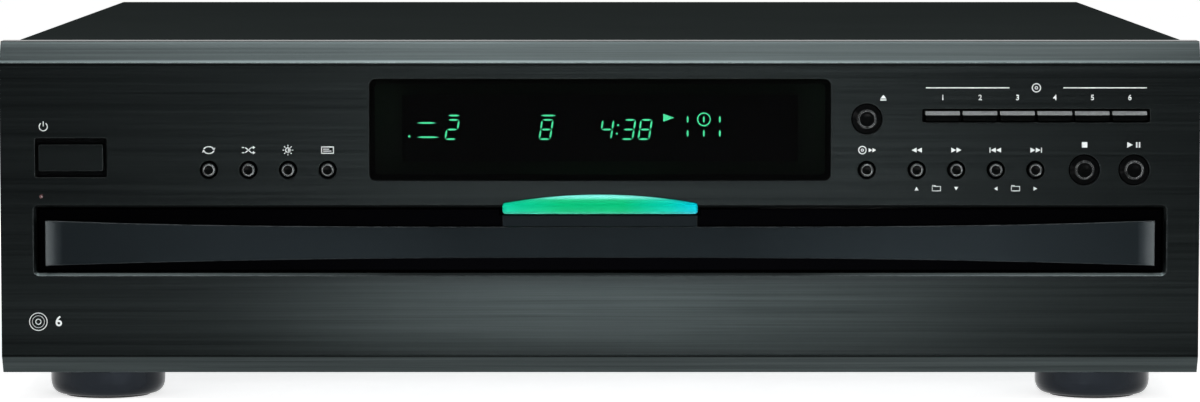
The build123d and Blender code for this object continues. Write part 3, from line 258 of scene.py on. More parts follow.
def skin(name, colour, shade=0.75, rough=(0.35, 0.5), size=1500.0, depth=0.02 * MM, worn_and_lit_tone=None, worn_and_lit_amount=0.4,
         radius=0.35 * MM, patches=14.0, **constants):
    """A moulded, painted or cast skin: its grain, handled patches and an edge tone, which is abrasion on some
    finishes and a painted edge highlight or edge shade on others.
    """
    made = Finish(name, **constants)
    tree = made.tree
    fine = made.use(grain, Scale=size)["Value"]
    patch = made.use(handling, Scale=patches)["Patch"]
    edge = made.use(edges, Radius=radius, Amount=worn_and_lit_amount)
    dark = rgb(*(channel * shade for channel in colour))
    base = blend(tree, calc(tree, "MULTIPLY", fine, patch), dark, rgb(*colour))
    tip = rgb(*(worn_and_lit_tone or [min(1.0, channel * 2.2 + 0.01) for channel in colour]))
    made.feed("Base_Color", blend(tree, edge["Worn_And_Lit"], base, tip))
    mixed = calc(tree, "ADD", calc(tree, "MULTIPLY", fine, 0.5), calc(tree, "MULTIPLY", patch, 0.5))
    made.feed("Roughness", spread(tree, mixed, 0.0, 1.0, *rough))
    made.bump(fine, depth, edge["Normal"])
    return made


def brushed_metal(name, dark, light, rough, along=6.0, across=2600.0, depth=0.012 * MM, worn_and_lit_tone=None,
                  **constants):
    """Metal brushed along X."""
    made = Finish(name, Metallic=1.0, **constants)
    tree = made.tree
    streak = made.use(brushing, Along=along, Across=across)["Streak"]
    patch = made.use(handling, Scale=5.0)["Patch"]
    edge = made.use(edges, Radius=0.45 * MM, Amount=0.55)
    base = blend(tree, streak, rgb(*dark), rgb(*light))
    made.feed("Base_Color", blend(tree, edge["Worn_And_Lit"], base, rgb(*(worn_and_lit_tone or light))))
    wiped = calc(tree, "ADD", calc(tree, "MULTIPLY", streak, 0.7), calc(tree, "MULTIPLY", patch, 0.3))
    made.feed("Roughness", spread(tree, wiped, 0.0, 1.0, *rough))
    made.bump(streak, depth, edge["Normal"])
    return made


BRUSHED_FRONT = {"rough": (0.28, 0.38), "along": 14.0, "Anisotropic": 0.5, "Anisotropic_Rotation": 0.25}
BRIGHTEST = 13.0               # strongest painted highlight of the bevels, over the face's own tone
LIP_TONE = 13.0                # strongest painted highlight on the chamfer under the drawer, over the face's own tone
BOTTOM_BEVEL = 6.2             # millimetres up the front
TOP_BEVEL = 7.6                # millimetres down from its top


def black_anodised():
    """The front: black anodised aluminium, brushed from side to side, with painted highlights on its bevels
    and edges, painted shade in the lines beside the bevels, and a painted sheen on the lower face.
    """
    made = brushed_metal("black_anodised", (0.0031, 0.0039, 0.0040), (0.0080, 0.0098, 0.0099),
                         across=2800.0, worn_and_lit_tone=(0.055, 0.061, 0.061), **BRUSHED_FRONT)
    tree = made.tree
    height = spread(tree, made.at(Z), panel_low.z, panel_high.z, 0.0, 1.0)
    tall = (panel_high.z - panel_low.z) / MM
    stops = [(place / tall, (share / BRIGHTEST,) * 3) for place, share in bevel_tones(tall)]
    tone = ramp(tree, height, stops)
    lip = calc(tree, "MULTIPLY", slot_lip(made), LIP_TONE)
    scale = calc(tree, "ADD", calc(tree, "MULTIPLY", tone, BRIGHTEST), lip)
    scale = calc(tree, "MULTIPLY", scale, low_glow(made))
    made.feed("Base_Color", scaled(tree, made.base(), scale))
    return made


def low_glow(made):
    """Painted reflection: a paler patch of the face, low in its middle."""
    tree = made.tree
    drawer_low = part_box("tray_front")[0].z
    centred = spread(tree, calc(tree, "ABSOLUTE", made.at(X)), 20.0 * MM, 140.0 * MM, 0.7, 0.0)
    bottom = panel_low.z
    low = made.within(Z, (bottom + 6.8 * MM, bottom + 12.0 * MM), (drawer_low - 6.0 * MM, drawer_low))
    return calc(tree, "ADD", 1.0, calc(tree, "MULTIPLY", centred, low))


def bevel_tones(tall):
    """Painted light at each height above the front's lower edge, in millimetres: painted highlights on the
    bevels, the top bevel's lower edge and the top edge, painted shade in the lines beside the bevels, and a
    painted sheen low on the face.
    """
    bottom, top = BOTTOM_BEVEL, tall - TOP_BEVEL
    return [(0.0, 6.5), (bottom - 0.3, 6.5), (bottom - 0.2, 0.5), (bottom + 0.4, 0.5), (bottom + 0.6, 1.15),
            (tall * 0.22, 1.5), (tall * 0.32, 1.2), (tall * 0.45, 1.0), (top - 1.2, 1.0), (top - 0.9, 0.4),
            (top - 0.1, 0.4), (top + 0.05, 12.5), (top + 0.6, 12.5), (top + 0.8, 4.5), (tall - 1.0, 4.5),
            (tall - 0.8, 7.5), (tall - 0.25, 7.5), (tall - 0.1, 1.0)]


def slot_lip(made):
    """Mask of the chamfer under the drawer opening, for a painted highlight that grows towards its ends."""
    tree = made.tree
    normal = tree.nodes.new("ShaderNodeNewGeometry").outputs["True Normal"]
    upward = spread(tree, axis_of(tree, normal, Z), 0.3, 0.5, 0.0, 1.0)
    low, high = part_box("tray_front")
    top = low.z - 0.3 * MM
    chamfer = made.within(Z, (top - 2.0 * MM, top - 1.8 * MM), (top, top + 0.2 * MM))
    ends = spread(tree, calc(tree, "ABSOLUTE", made.at(X)), high.x * 0.35, high.x, 0.0, 1.0)
    return calc(tree, "MULTIPLY", calc(tree, "MULTIPLY", upward, ends), chamfer)


def zinc_plate():
    """Zinc plated sheet, with its crystal pattern."""
    made = Finish("zinc_plate", Metallic=1.0)
    flakes = put(made.tree, "ShaderNodeTexVoronoi", Vector=made.spot, Scale=160.0)
    patch = made.use(handling, Scale=9.0)["Patch"]
    edge = made.use(edges, Radius=0.3 * MM, Amount=0.5)
    tone = axis_of(made.tree, flakes.outputs["Color"], 0)
    base = blend(made.tree, tone, rgb(0.36, 0.38, 0.39), rgb(0.52, 0.53, 0.54))
    made.feed("Base_Color", blend(made.tree, edge["Worn_And_Lit"], base, rgb(0.7, 0.7, 0.7)))
    made.feed("Roughness", spread(made.tree, calc(made.tree, "ADD", tone, patch), 0.0, 2.0, 0.28, 0.5))
    made.bump(tone, 0.004 * MM, edge["Normal"])
    return made


def circuit_board():
    """Green solder mask over copper tracks."""
    made = Finish("circuit_board", Specular_IOR_Level=0.35)
    cells = put(made.tree, "ShaderNodeTexBrick", {"offset": 0.37, "squash": 1.6, "squash_frequency": 3},
                Vector=made.spot, Scale=95.0, Mortar_Size=0.045, Color1=rgb(0.018, 0.09, 0.035),
                Color2=rgb(0.022, 0.115, 0.045), Mortar=rgb(0.05, 0.19, 0.075))
    fine = made.use(grain, Scale=2400.0)["Value"]
    edge = made.use(edges, Radius=0.3 * MM, Amount=0.6)
    made.feed("Base_Color", blend(made.tree, edge["Worn_And_Lit"], cells.outputs[0], rgb(0.3, 0.27, 0.16)))
    made.feed("Roughness", spread(made.tree, fine, 0.0, 1.0, 0.25, 0.45))
    made.bump(cells.outputs["Fac"], 0.03 * MM, edge["Normal"])
    return made


def smoked_pane():
    """Smoked clear pane, polished, over the dark display."""
    made = Finish("smoked_pane", Transmission_Weight=1.0, IOR=1.08, Specular_IOR_Level=0.5)
    patch = made.use(handling, Scale=25.0)["Patch"]
    fine = made.use(grain, Scale=60.0)["Value"]
    made.feed("Base_Color", blend(made.tree, patch, rgb(0.11, 0.115, 0.115), rgb(0.125, 0.13, 0.13)))
    made.feed("Roughness", spread(made.tree, patch, 0.0, 1.0, 0.0, 0.015))
    made.bump(fine, 0.002 * MM)
    return made


LENS_RIM = 6.9                 # height of the lens's top edge over its lower edge, the span of its painted edge highlights, in millimetres


def lit_lens():
    """Clear green lens lit from behind, with painted highlights along its top and bottom edges, stronger at
    the top, and bluer towards its ends.
    """
    made = Finish("lit_lens", Emission_Strength=0.25, Specular_IOR_Level=0.0)
    tree = made.tree
    x = spread(tree, made.at(X), lens_low.x, lens_high.x, 0.0, 1.0)
    z = spread(tree, made.at(Z), lens_low.z, lens_low.z + LENS_RIM * MM, 0.0, 1.0)
    along = ramp(tree, x, [(0.0, (0.002, 0.33, 0.19)), (0.12, (0.001, 0.31, 0.15)),
                           (0.3, (0.001, 0.27, 0.10)), (0.62, (0.001, 0.27, 0.10)),
                           (0.85, (0.0, 0.31, 0.22)), (1.0, (0.0, 0.31, 0.38))])
    # Painted highlight along the lens's top edge, fainter along its bottom edge.
    up = ramp(tree, z, [(0.0, (0.25,) * 3), (0.16, (0.03,) * 3), (0.5, (0.0,) * 3), (0.74, (0.04,) * 3),
                        (0.92, (0.75,) * 3)])
    glow = blend(tree, up, along, rgb(0.19, 0.66, 0.62))
    cloud = made.use(grain, Scale=700.0)["Value"]
    made.feed("Base_Color", glow)
    made.feed("Emission_Color", glow)
    made.feed("Roughness", spread(tree, cloud, 0.0, 1.0, 0.12, 0.22))
    made.bump(cloud, 0.006 * MM, made.use(edges, Radius=0.5 * MM)["Normal"])
    return made


def drawer_face():
    """Drawer front: a satin band over a black plate, with painted shade in the band's middle, a painted
    highlight on its curled ends and a painted edge highlight.
    """
    made = skin("drawer_face", (0.0047, 0.0062, 0.0071), shade=0.88, rough=(0.30, 0.38), size=1300.0,
                depth=0.006 * MM, worn_and_lit_tone=(0.055, 0.062, 0.065), worn_and_lit_amount=0.8, radius=0.5 * MM, patches=8.0,
                Metallic=1.0)
    tree = made.tree
    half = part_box("tray_front")[1].x
    outward = calc(tree, "ABSOLUTE", made.at(X))
    # The band's curled ends get a painted highlight and its middle a painted shade.
    painted_end_highlight = spread(tree, outward, half - 9.0 * MM, half - 2.5 * MM, 0.0, 1.0)
    painted_centre_shade = scaled(tree, made.base(), spread(tree, outward, half * 0.25, half * 0.7, 0.6, 1.35))
    ends = blend(tree, calc(tree, "POWER", painted_end_highlight, 1.6), painted_centre_shade, rgb(0.026, 0.029, 0.030))
    plate_y = face_y + 3.0 * MM
    plate = spread(tree, made.at(Y), plate_y - 0.5 * MM, plate_y - 0.2 * MM, 0.0, 1.0)
    made.feed("Base_Color", blend(tree, plate, ends, rgb(0.0003, 0.0003, 0.0004)))
    return made


def rimmed_button():
    """Round button: gloss black, with a painted glint on its raised rim, brighter on the right."""
    made = skin("button_gloss", (0.0015, 0.0017, 0.0018), rough=(0.08, 0.16), size=500.0, depth=0.003 * MM,
                worn_and_lit_amount=0.2, radius=0.4 * MM, patches=60.0, Specular_IOR_Level=0.012)
    tree = made.tree
    rim = made.use(edges, Radius=0.45 * MM, Amount=2.4)
    # Painted glint on the raised rim, brighter on its right side.
    shown = spread(tree, axis_of(tree, rim["Normal"], X), -0.5, 0.5, 0.45, 1.0)
    proud = spread(tree, made.at(Y), face_y - 0.75 * MM, face_y - 0.5 * MM, 1.0, 0.0)
    painted_glint = calc(tree, "MULTIPLY", calc(tree, "MULTIPLY", rim["Worn_And_Lit"], shown), proud)
    made.paint(painted_glint, rgb(0.62, 0.65, 0.66))
    return made


def silvered_bar():
    """Disc select button: black, with a painted highlight on its sloped upper facet, whose top strip stays
    black as painted shade under the slot's edge.
    """
    made = skin("silvered_bar", (0.001, 0.0012, 0.0012), rough=(0.16, 0.24), size=900.0, depth=0.004 * MM,
                worn_and_lit_amount=0.0, radius=0.25 * MM, Specular_IOR_Level=0.01)
    facet = middle(disc_buttons[0]).z + 0.15 * MM
    # Painted highlight on the facet; its top strip stays black as painted shade under the slot's upper edge.
    upper = made.within(Z, (facet, facet + 0.1 * MM), (facet + 1.4 * MM, facet + 1.5 * MM))
    fine = made.use(grain, Scale=1800.0)["Value"]
    made.paint(upper, blend(made.tree, fine, rgb(0.13, 0.14, 0.14), rgb(0.18, 0.19, 0.19)))
    return made


def glowing(name, colour, strength):
    """Phosphor that shines, a little uneven."""
    made = Finish(name, Emission_Strength=strength, Roughness=0.6)
    fine = made.use(grain, Scale=1600.0)["Value"]
    bright = rgb(*colour)
    weak = rgb(*(channel * 0.8 for channel in colour))
    shade = blend(made.tree, fine, weak, bright)
    made.feed("Emission_Color", shade)
    made.feed("Base_Color", shade)
    return made


def laminated_core():
    """Transformer: varnished laminations and a taped winding."""
    made = skin("laminated_core", (0.11, 0.10, 0.095), rough=(0.4, 0.6), size=900.0, patches=30.0)
    stack = put(made.tree, "ShaderNodeTexWave", {"wave_type": "BANDS", "bands_direction": "Y"},
                Vector=made.spot, Scale=320.0, Distortion=0.3)
    made.paint(stack.outputs["Fac"], rgb(0.03, 0.028, 0.026))
    return made


looks = [
    black_anodised(),
    # Top cover and rear: the near-black edge tone is painted shade along their edges.
    skin("black_paint", (0.0225, 0.0275, 0.0270), shade=0.85, rough=(0.6, 0.75), size=1100.0,
         depth=0.05 * MM, worn_and_lit_tone=(0.004, 0.004, 0.004), worn_and_lit_amount=0.9, radius=0.6 * MM, patches=6.0,
         Specular_IOR_Level=0.0),
    zinc_plate(),
    skin("black_plastic", (0.012, 0.0135, 0.0145), rough=(0.42, 0.58), size=1700.0,
         Specular_IOR_Level=0.25),
    skin("deep_black", (0.003, 0.0032, 0.0034), rough=(0.5, 0.65), size=1700.0, worn_and_lit_amount=0.2,
         Specular_IOR_Level=0.0),
    drawer_face(),
    rimmed_button(),
    # Power button: brushed like the front, and its pale edge tone is a painted edge highlight.
    brushed_metal("power_cap", (0.0034, 0.0043, 0.0044), (0.0082, 0.0100, 0.0101),
                  across=2300.0, worn_and_lit_tone=(0.22, 0.235, 0.235), **BRUSHED_FRONT),
    silvered_bar(),
    smoked_pane(),
    lit_lens(),
    skin("foot_gloss", (0.006, 0.0068, 0.0095), rough=(0.10, 0.18), size=300.0, depth=0.004 * MM,
         worn_and_lit_amount=0.3, radius=0.6 * MM, patches=40.0, Specular_IOR_Level=0.19,
         Specular_Tint=rgb(0.72, 0.86, 1.0)),
    skin("pad_rubber", (0.02, 0.02, 0.02), rough=(0.75, 0.9), size=1400.0, depth=0.04 * MM,
         worn_and_lit_amount=0.2),
    skin("black_screw", (0.05, 0.05, 0.05), rough=(0.3, 0.45), size=1200.0, worn_and_lit_tone=(0.35, 0.34, 0.33),
         worn_and_lit_amount=0.7, Metallic=1.0),
    circuit_board(),
    skin("moulded_parts", (0.02, 0.02, 0.022), rough=(0.3, 0.5), size=1100.0),
    skin("dark_glass", (0.004, 0.005, 0.005), rough=(0.08, 0.14), size=400.0, depth=0.002 * MM,
         worn_and_lit_amount=0.1, Specular_IOR_Level=0.3),
    laminated_core(),
    skin("plated_socket", (0.78, 0.76, 0.72), shade=0.85, rough=(0.12, 0.24), size=1600.0,
         depth=0.004 * MM, Metallic=1.0),
    skin("acetal", (0.68, 0.67, 0.61), shade=0.92, rough=(0.35, 0.5), size=900.0, depth=0.01 * MM,
         worn_and_lit_tone=(0.8, 0.79, 0.74), Subsurface_Weight=0.08, Subsurface_Scale=0.001),
    brushed_metal("motor_can", (0.42, 0.43, 0.43), (0.58, 0.58, 0.57), (0.25, 0.4), along=900.0,
                  across=900.0, worn_and_lit_tone=(0.75, 0.75, 0.74)),
    brushed_metal("ground_rod", (0.6, 0.61, 0.62), (0.74, 0.75, 0.76), (0.1, 0.2), along=2600.0,
                  across=300.0, depth=0.003 * MM),
]
finishes = {look.name: look.material for look in looks}


def by_name(table):
    """A table of lists of names, turned round: each name with its key."""
    return {name: key for key, names in table.items() for name in names.split()}


# Every node that isn't named here, a round button or the carousel's cap, takes button_gloss.
dress = {
    "black_anodised": "front_panel", "black_paint": "top_cover rear_panel", "deep_black": "front_frame",
    "zinc_plate": "bottom_chassis mech_base clamp_bridge traverse_frame", "smoked_pane": "display_window",
    "lit_lens": "light_lens", "foot_gloss": "feet", "pad_rubber": "foot_pads loading_belt",
    "black_screw": "case_screws", "circuit_board": "front_board main_board", "dark_glass": "display_tube",
    "moulded_parts": "key_switches board_parts pickup", "laminated_core": "transformer",
    "black_plastic": "power_inlet tray_rails tray carousel disc_hub", "drawer_face": "tray_front",
    "plated_socket": "audio_jacks digital_jacks", "ground_rod": "guide_rods", "power_cap": "power_button",
    "motor_can": "loading_motor carousel_motor traverse_motors", "silvered_bar": " ".join(disc_buttons),
    "acetal": "carousel_pinion motor_pulley pulley_gear drive_gear lift_slider clamper sled_gear",
}
finish_of = by_name(dress)
for name, piece in nodes.items():
    material = finishes[finish_of.get(name, "button_gloss")]
    if not piece.material_slots:
        piece.data.materials.append(material)
    for place in piece.material_slots:
        place.material = material


def add(name, data):
    """A new object in the scene."""
    made = bpy.data.objects.new(name, data)
    bpy.context.scene.collection.objects.link(made)
    return made


def closed(name, mesh):
    """A plain mesh of a bmesh, with doubled points joined and faces turned outward."""
    bmesh.ops.remove_doubles(mesh, verts=mesh.verts, dist=1e-7)
    bmesh.ops.recalc_face_normals(mesh, faces=mesh.faces)
    made = bpy.data.meshes.new(name)
    mesh.to_mesh(made)
    mesh.free()
    return made


def keep(name, mesh, body, material=None):
    """Makes an object of a finished mesh and lets it ride on a body."""
    if material is not None:
        mesh.materials.clear()
        mesh.materials.append(material)
    made = add(name, mesh)
    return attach(made, body)


def front_plane(x, z, y=face_y):
    """Seen from the front: u to the right, v up, w towards the eye."""
    return Matrix(((1, 0, 0, x), (0, 0, -1, y), (0, 1, 0, z), (0, 0, 0, 1)))


def rear_plane(x, z, y=rear_y):
    """Seen from behind: u to the right, v up, w towards the eye."""
    return Matrix(((-1, 0, 0, x), (0, 0, 1, y), (0, 1, 0, z), (0, 0, 0, 1)))


def top_plane(x, y, z, turn=0.0):
    """Seen from above, turned about the upright axis."""
    return Matrix.Translation((x, y, z)) @ Matrix.Rotation(turn, 4, "Z")


class Marks:
    """Thin flat marks on one surface, gathered into one closed mesh. Sizes are in millimetres."""

    def __init__(self, thickness=0.03, sunk=0.01):
        self.mesh = bmesh.new()
        self.top = thickness
        self.low = -sunk

    def shape(self, plane, points):
        """A flat shape from its outline."""
        rings = [[self.mesh.verts.new(plane @ Vector((u * MM, v * MM, w * MM))) for u, v in points]
                 for w in (self.top, self.low)]
        self.mesh.faces.new(rings[0])
        self.mesh.faces.new(rings[1][::-1])
        for place in range(len(points)):
            after = (place + 1) % len(points)
            self.mesh.faces.new((rings[0][place], rings[1][place], rings[1][after], rings[0][after]))

    def bar(self, plane, u, v, width, height, lean=0.0):
        """A straight bar about its middle."""
        half, tall = width / 2, height / 2
        corners = [(-half, -tall), (half, -tall), (half, tall), (-half, tall)]
        self.shape(plane, [turned(point, lean, u, v) for point in corners])

    def arrow(self, plane, u, v, width, height, lean=0.0):
        """A triangle that points right before it is turned."""
        corners = [(-width / 2, -height / 2), (width / 2, 0), (-width / 2, height / 2)]
        self.shape(plane, [turned(point, lean, u, v) for point in corners])

    def arc(self, plane, u, v, radius, width, start=0.0, end=360.0, wide=1.0):
        """Part of a ring, stretched sideways by wide, in short closed blocks."""
        steps = max(6, int(abs(end - start) / 15))
        for step in range(steps):
            angles = [radians(start + (end - start) * (step + part) / steps) for part in (0, 1.02)]
            inner, outer = radius - width / 2, radius + width / 2
            points = [(outer * wide * cos(angles[0]), outer * sin(angles[0])),
                      (outer * wide * cos(angles[1]), outer * sin(angles[1])),
                      (inner * wide * cos(angles[1]), inner * sin(angles[1])),
                      (inner * wide * cos(angles[0]), inner * sin(angles[0]))]
            self.shape(plane, [(u + a, v + b) for a, b in points])

    def number(self, plane, u, v, digit, height):
        """A printed number about its middle."""
        curve = bpy.data.curves.new("number", "FONT")
        curve.body = str(digit)
        curve.size = height * MM / 0.7
        curve.align_x = "CENTER"
        curve.align_y = "CENTER"
        curve.extrude = (self.top - self.low) / 2 * MM
        curve.offset = 0.025 * height * MM
        curve.resolution_u = 4
        text = add("number", curve)
        depsgraph = bpy.context.evaluated_depsgraph_get()
        flat = bpy.data.meshes.new_from_object(text.evaluated_get(depsgraph))
        bpy.data.objects.remove(text)
        flat.transform(plane @ Matrix.Translation((u * MM, v * MM, (self.top + self.low) / 2 * MM)))
        self.mesh.from_mesh(flat)

    def done(self, name, body, material):
        """Makes the piece of all the marks."""
        return keep(name, closed(name, self.mesh), body, material)


def turned(point, lean, u, v):
    """A point turned by lean degrees and moved to (u, v)."""
    across, up = cos(radians(lean)), sin(radians(lean))
    return (u + point[0] * across - point[1] * up, v + point[0] * up + point[1] * across)


def lathe(name, profile, axis, body, material, steps=40):
    """A profile of (radius, height) in millimetres turned round the w axis of a plane."""
    mesh = bmesh.new()
    rings = []
    for radius, height in profile:
        ring = []
        for step in range(steps if radius > 0 else 1):
            angle = 2 * pi * step / steps
            spot = Vector((radius * cos(angle) * MM, radius * sin(angle) * MM, height * MM))
            ring.append(mesh.verts.new(axis @ spot))
        rings.append(ring)
    for low, high in zip(rings, rings[1:] + rings[:1]):
        join_rings(mesh, low, high, steps)
    return keep(name, closed(name, mesh), body, material)


def join_rings(mesh, low, high, steps):
    """Faces between two rings of a lathe, either of which may be a single point."""
    if len(low) == 1 and len(high) == 1:
        return
    for step in range(steps):
        after = (step + 1) % steps
        if len(low) == 1:
            mesh.faces.new((low[0], high[after], high[step]))
        elif len(high) == 1:
            mesh.faces.new((low[step], low[after], high[0]))
        else:
            mesh.faces.new((low[step], low[after], high[after], high[step]))


# ---- printed marks on the front
print_grey = skin("print_grey", (0.66, 0.69, 0.69), shade=0.92, rough=(0.5, 0.65), size=2600.0,
                  depth=0.003 * MM, worn_and_lit_amount=0.0, patches=60.0).material
LABEL_RISE = 7.2               # pictograms above the small buttons' middles
BIG_LABEL_RISE = 9.1           # the same for stop and play
STEP_DROP = -6.8               # small triangles and folders under the search and skip buttons
NUMBER_RISE = 6.5              # numbers over the disc select buttons
BRACKET_RISE = 10.1            # bracket line over them
LINE = 0.36                    # stroke of the pictograms


def over(name, rise, shift=0.0):
    """The face's plane at a rise above a button's middle and a shift to its right, in millimetres."""
    spot = middle(name)
    return front_plane(spot.x + shift * MM, spot.z + rise * MM)


def loop_arrows(marks, plane):
    """Repeat: two arrows that chase each other."""
    marks.arc(plane, 0, 0, 1.25, LINE, 25, 165, 1.5)
    marks.arc(plane, 0, 0, 1.25, LINE, 205, 345, 1.5)
    marks.arrow(plane, 1.85, 0.25, 1.0, 1.3, -80)
    marks.arrow(plane, -1.85, -0.25, 1.0, 1.3, 100)


def crossed_arrows(marks, plane):
    """Random: two paths that cross."""
    for side in (-1, 1):
        marks.bar(plane, -1.9, side * 0.95, 0.9, LINE)
        marks.bar(plane, 0, 0, 2.9, LINE, -side * 40)
        marks.bar(plane, 1.35, side * 0.95, 0.7, LINE)
        marks.arrow(plane, 2.1, side * 0.95, 0.9, 1.2)


def small_sun(marks, plane):
    """Dimmer: a sun with a dark half."""
    marks.arc(plane, 0, 0, 0.85, LINE)
    marks.arc(plane, 0, 0, 0.42, 0.8, -90, 90)
    for ray in range(8):
        angle = 45 * ray
        marks.bar(plane, 1.62 * cos(radians(angle)), 1.62 * sin(radians(angle)), 0.6, 0.28, angle)


def little_screen(marks, plane):
    """Display: a screen with two lines."""
    for side in (-1, 1):
        marks.bar(plane, 0, side * 1.15, 4.6, LINE)
        marks.bar(plane, side * 2.15, 0, LINE, 2.6)
    marks.bar(plane, -0.5, 0.35, 2.2, 0.3)
    marks.bar(plane, -0.1, -0.35, 3.0, 0.3)


def folder(marks, plane):
    """A folder."""
    for side in (-1, 1):
        marks.bar(plane, 0, side * 0.8, 3.2, 0.28)
        marks.bar(plane, side * 1.5, 0, 0.28, 1.8)
    marks.bar(plane, -0.9, 1.05, 1.3, 0.4)


def disc_sign(marks, plane, radius, stroke=LINE):
    """A disc seen flat."""
    marks.arc(plane, 0, 0, radius, stroke)
    marks.arc(plane, 0, 0, radius * 0.3, stroke)


def search_signs(marks):
    """Twin triangles above the search and skip buttons."""
    for place, name in enumerate(search_buttons):
        plane = over(name + "_button", LABEL_RISE)
        lean = 180 if place % 2 == 0 else 0
        side = -1 if place % 2 == 0 else 1
        for step in (-0.95, 0.95):
            marks.arrow(plane, step, 0, 1.8, 1.8, lean)
        if place > 1:
            marks.bar(plane, side * 2.15, 0, LINE, 1.8)


def step_signs(marks):
    """Small triangles and folders under the search and skip buttons."""
    for place, name in enumerate(search_buttons):
        marks.arrow(over(name + "_button", STEP_DROP), 0, 0, 1.3, 1.5, (90, -90, 180, 0)[place])
    for pair in (0, 2):
        left, right = (middle(name + "_button") for name in search_buttons[pair:pair + 2])
        folder(marks, front_plane((left.x + right.x) / 2, left.z + STEP_DROP * MM))


def front_marks():
    """Every printed mark on the front."""
    marks = Marks()
    for name, draw in zip(small_buttons, (loop_arrows, crossed_arrows, small_sun, little_screen)):
        draw(marks, over(name + "_button", LABEL_RISE))
    search_signs(marks)
    step_signs(marks)
    disc_sign(marks, over("disc_skip_button", LABEL_RISE, -1.6), 1.35)
    for step in (1.3, 2.7):
        marks.arrow(over("disc_skip_button", LABEL_RISE), step, 0, 1.3, 1.5)
    plane = over("open_close_button", 7.7, 5.9)
    marks.arrow(plane, 0, 0.35, 1.3, 2.2, 90)
    marks.bar(plane, 0, -0.8, 2.2, 0.45)
    marks.bar(over("stop_button", BIG_LABEL_RISE), 0, 0, 2.0, 2.0)
    plane = over("play_pause_button", BIG_LABEL_RISE)
    marks.arrow(plane, -1.5, 0, 2.1, 2.1)
    for step in (0.9, 1.9):
        marks.bar(plane, step, 0, 0.55, 2.0)
    plane = over("power_button", 11.3, -9.9)
    marks.arc(plane, 0, 0, 1.5, LINE, -235, 55)
    marks.bar(plane, 0, 1.0, LINE, 1.8)
    disc_select_marks(marks)
    plane = front_plane(panel_low.x + 13.4 * MM, 29.2 * MM)
    disc_sign(marks, plane, 3.2, 0.3)
    marks.arc(plane, 0, 0, 2.2, 0.16)
    marks.number(plane, 7.4, 0, wells, 3.6)
    return marks.done("front_marks", "root", print_grey)


def disc_select_marks(marks):
    """Bracket line, disc sign and the numbers over the disc select buttons."""
    first, last = middle(disc_buttons[0]), middle(disc_buttons[-1])
    plane = front_plane((first.x + last.x) / 2, first.z + BRACKET_RISE * MM)
    for side in (-1, 1):
        marks.bar(plane, side * 24.9, 0, 30.2, 0.4)
    disc_sign(marks, plane, 1.5)
    for number, name in enumerate(disc_buttons, start=1):
        marks.number(over(name, NUMBER_RISE), 0, 0, number, 1.9)


front_marks()


# ---- geometry trees
def geometry_tree(name, inputs):
    """An empty geometry tree with named inputs and one geometry output."""
    inputs = [("Geometry", "Geometry", None)] + inputs
    return node_group("GeometryNodeTree", name, inputs, [("Geometry", "Geometry")])


def close_tree(tree, shapes, material, out):
    """Ends a tree: real geometry with its material."""
    real = put(tree, "GeometryNodeRealizeInstances", Geometry=shapes)
    painted = put(tree, "GeometryNodeSetMaterial", Geometry=real.outputs[0], Material=material)
    tree.links.new(painted.outputs[0], out["Geometry"])


def grow(name, tree, body, points, **sizes):
    """Runs a tree on a base mesh and keeps the plain mesh that comes out."""
    base = add(name + "_base", points)
    modifier = base.modifiers.new("tree", "NODES")
    modifier.node_group = tree
    for item in tree.interface.items_tree:
        label = item.name.replace(" ", "_")
        if item.item_type == "SOCKET" and item.in_out == "INPUT" and label in sizes:
            modifier[item.identifier] = sizes[label]
    depsgraph = bpy.context.evaluated_depsgraph_get()
    made = bpy.data.meshes.new_from_object(base.evaluated_get(depsgraph))
    base.modifiers.remove(modifier)
    bpy.data.objects.remove(base)
    return keep(name, made, body)


def stroke_tree():
    """A bar with pointed ends on every point, as long and as turned as the point says."""
    inputs = [("Stroke", "Float", 0.7 * MM), ("Depth", "Float", 0.1 * MM), ("Material", "Material", None)]
    tree, given, out = geometry_tree("display strokes", inputs)
    bar = put(tree, "GeometryNodeMeshCylinder", Vertices=6, Radius=0.5, Depth=1.0)
    upright = put(tree, "GeometryNodeTransform", Geometry=bar.outputs["Mesh"], Rotation=(pi / 2, 0, 0))
    length = put(tree, "GeometryNodeInputNamedAttribute", Name="length")
    lean = put(tree, "GeometryNodeInputNamedAttribute", Name="lean")
    size = put(tree, "ShaderNodeCombineXYZ", X=length.outputs[0], Y=given["Depth"], Z=given["Stroke"])
    angles = put(tree, "ShaderNodeCombineXYZ", Y=lean.outputs[0])
    turn = put(tree, "FunctionNodeEulerToRotation", Euler=angles.outputs[0])
    set_out = put(tree, "GeometryNodeInstanceOnPoints", Points=given["Geometry"], Instance=upright.outputs[0],
                  Rotation=turn.outputs[0], Scale=size.outputs[0])
    close_tree(tree, set_out.outputs[0], given["Material"], out)
    return tree


def wire_tree():
    """Upright wires side by side at an even pitch, from the first point to the right."""
    inputs = [("Width", "Float", 0.1), ("Height", "Float", 0.02), ("Pitch", "Float", 0.001),
              ("Wire", "Float", 0.0001), ("Material", "Material", None)]
    tree, given, out = geometry_tree("display wires", inputs)
    count = calc(tree, "DIVIDE", given["Width"], given["Pitch"])
    step = put(tree, "ShaderNodeCombineXYZ", X=given["Pitch"])
    line = put(tree, "GeometryNodeMeshLine", Count=count, Offset=step.outputs[0])
    size = put(tree, "ShaderNodeCombineXYZ", X=given["Wire"], Y=given["Wire"], Z=given["Height"])
    wire = put(tree, "GeometryNodeMeshCube", Size=size.outputs[0])
    row = put(tree, "GeometryNodeInstanceOnPoints", Points=line.outputs[0], Instance=wire.outputs[0])
    places = put(tree, "GeometryNodeInstanceOnPoints", Points=given["Geometry"], Instance=row.outputs[0])
    close_tree(tree, places.outputs[0], given["Material"], out)
    return tree


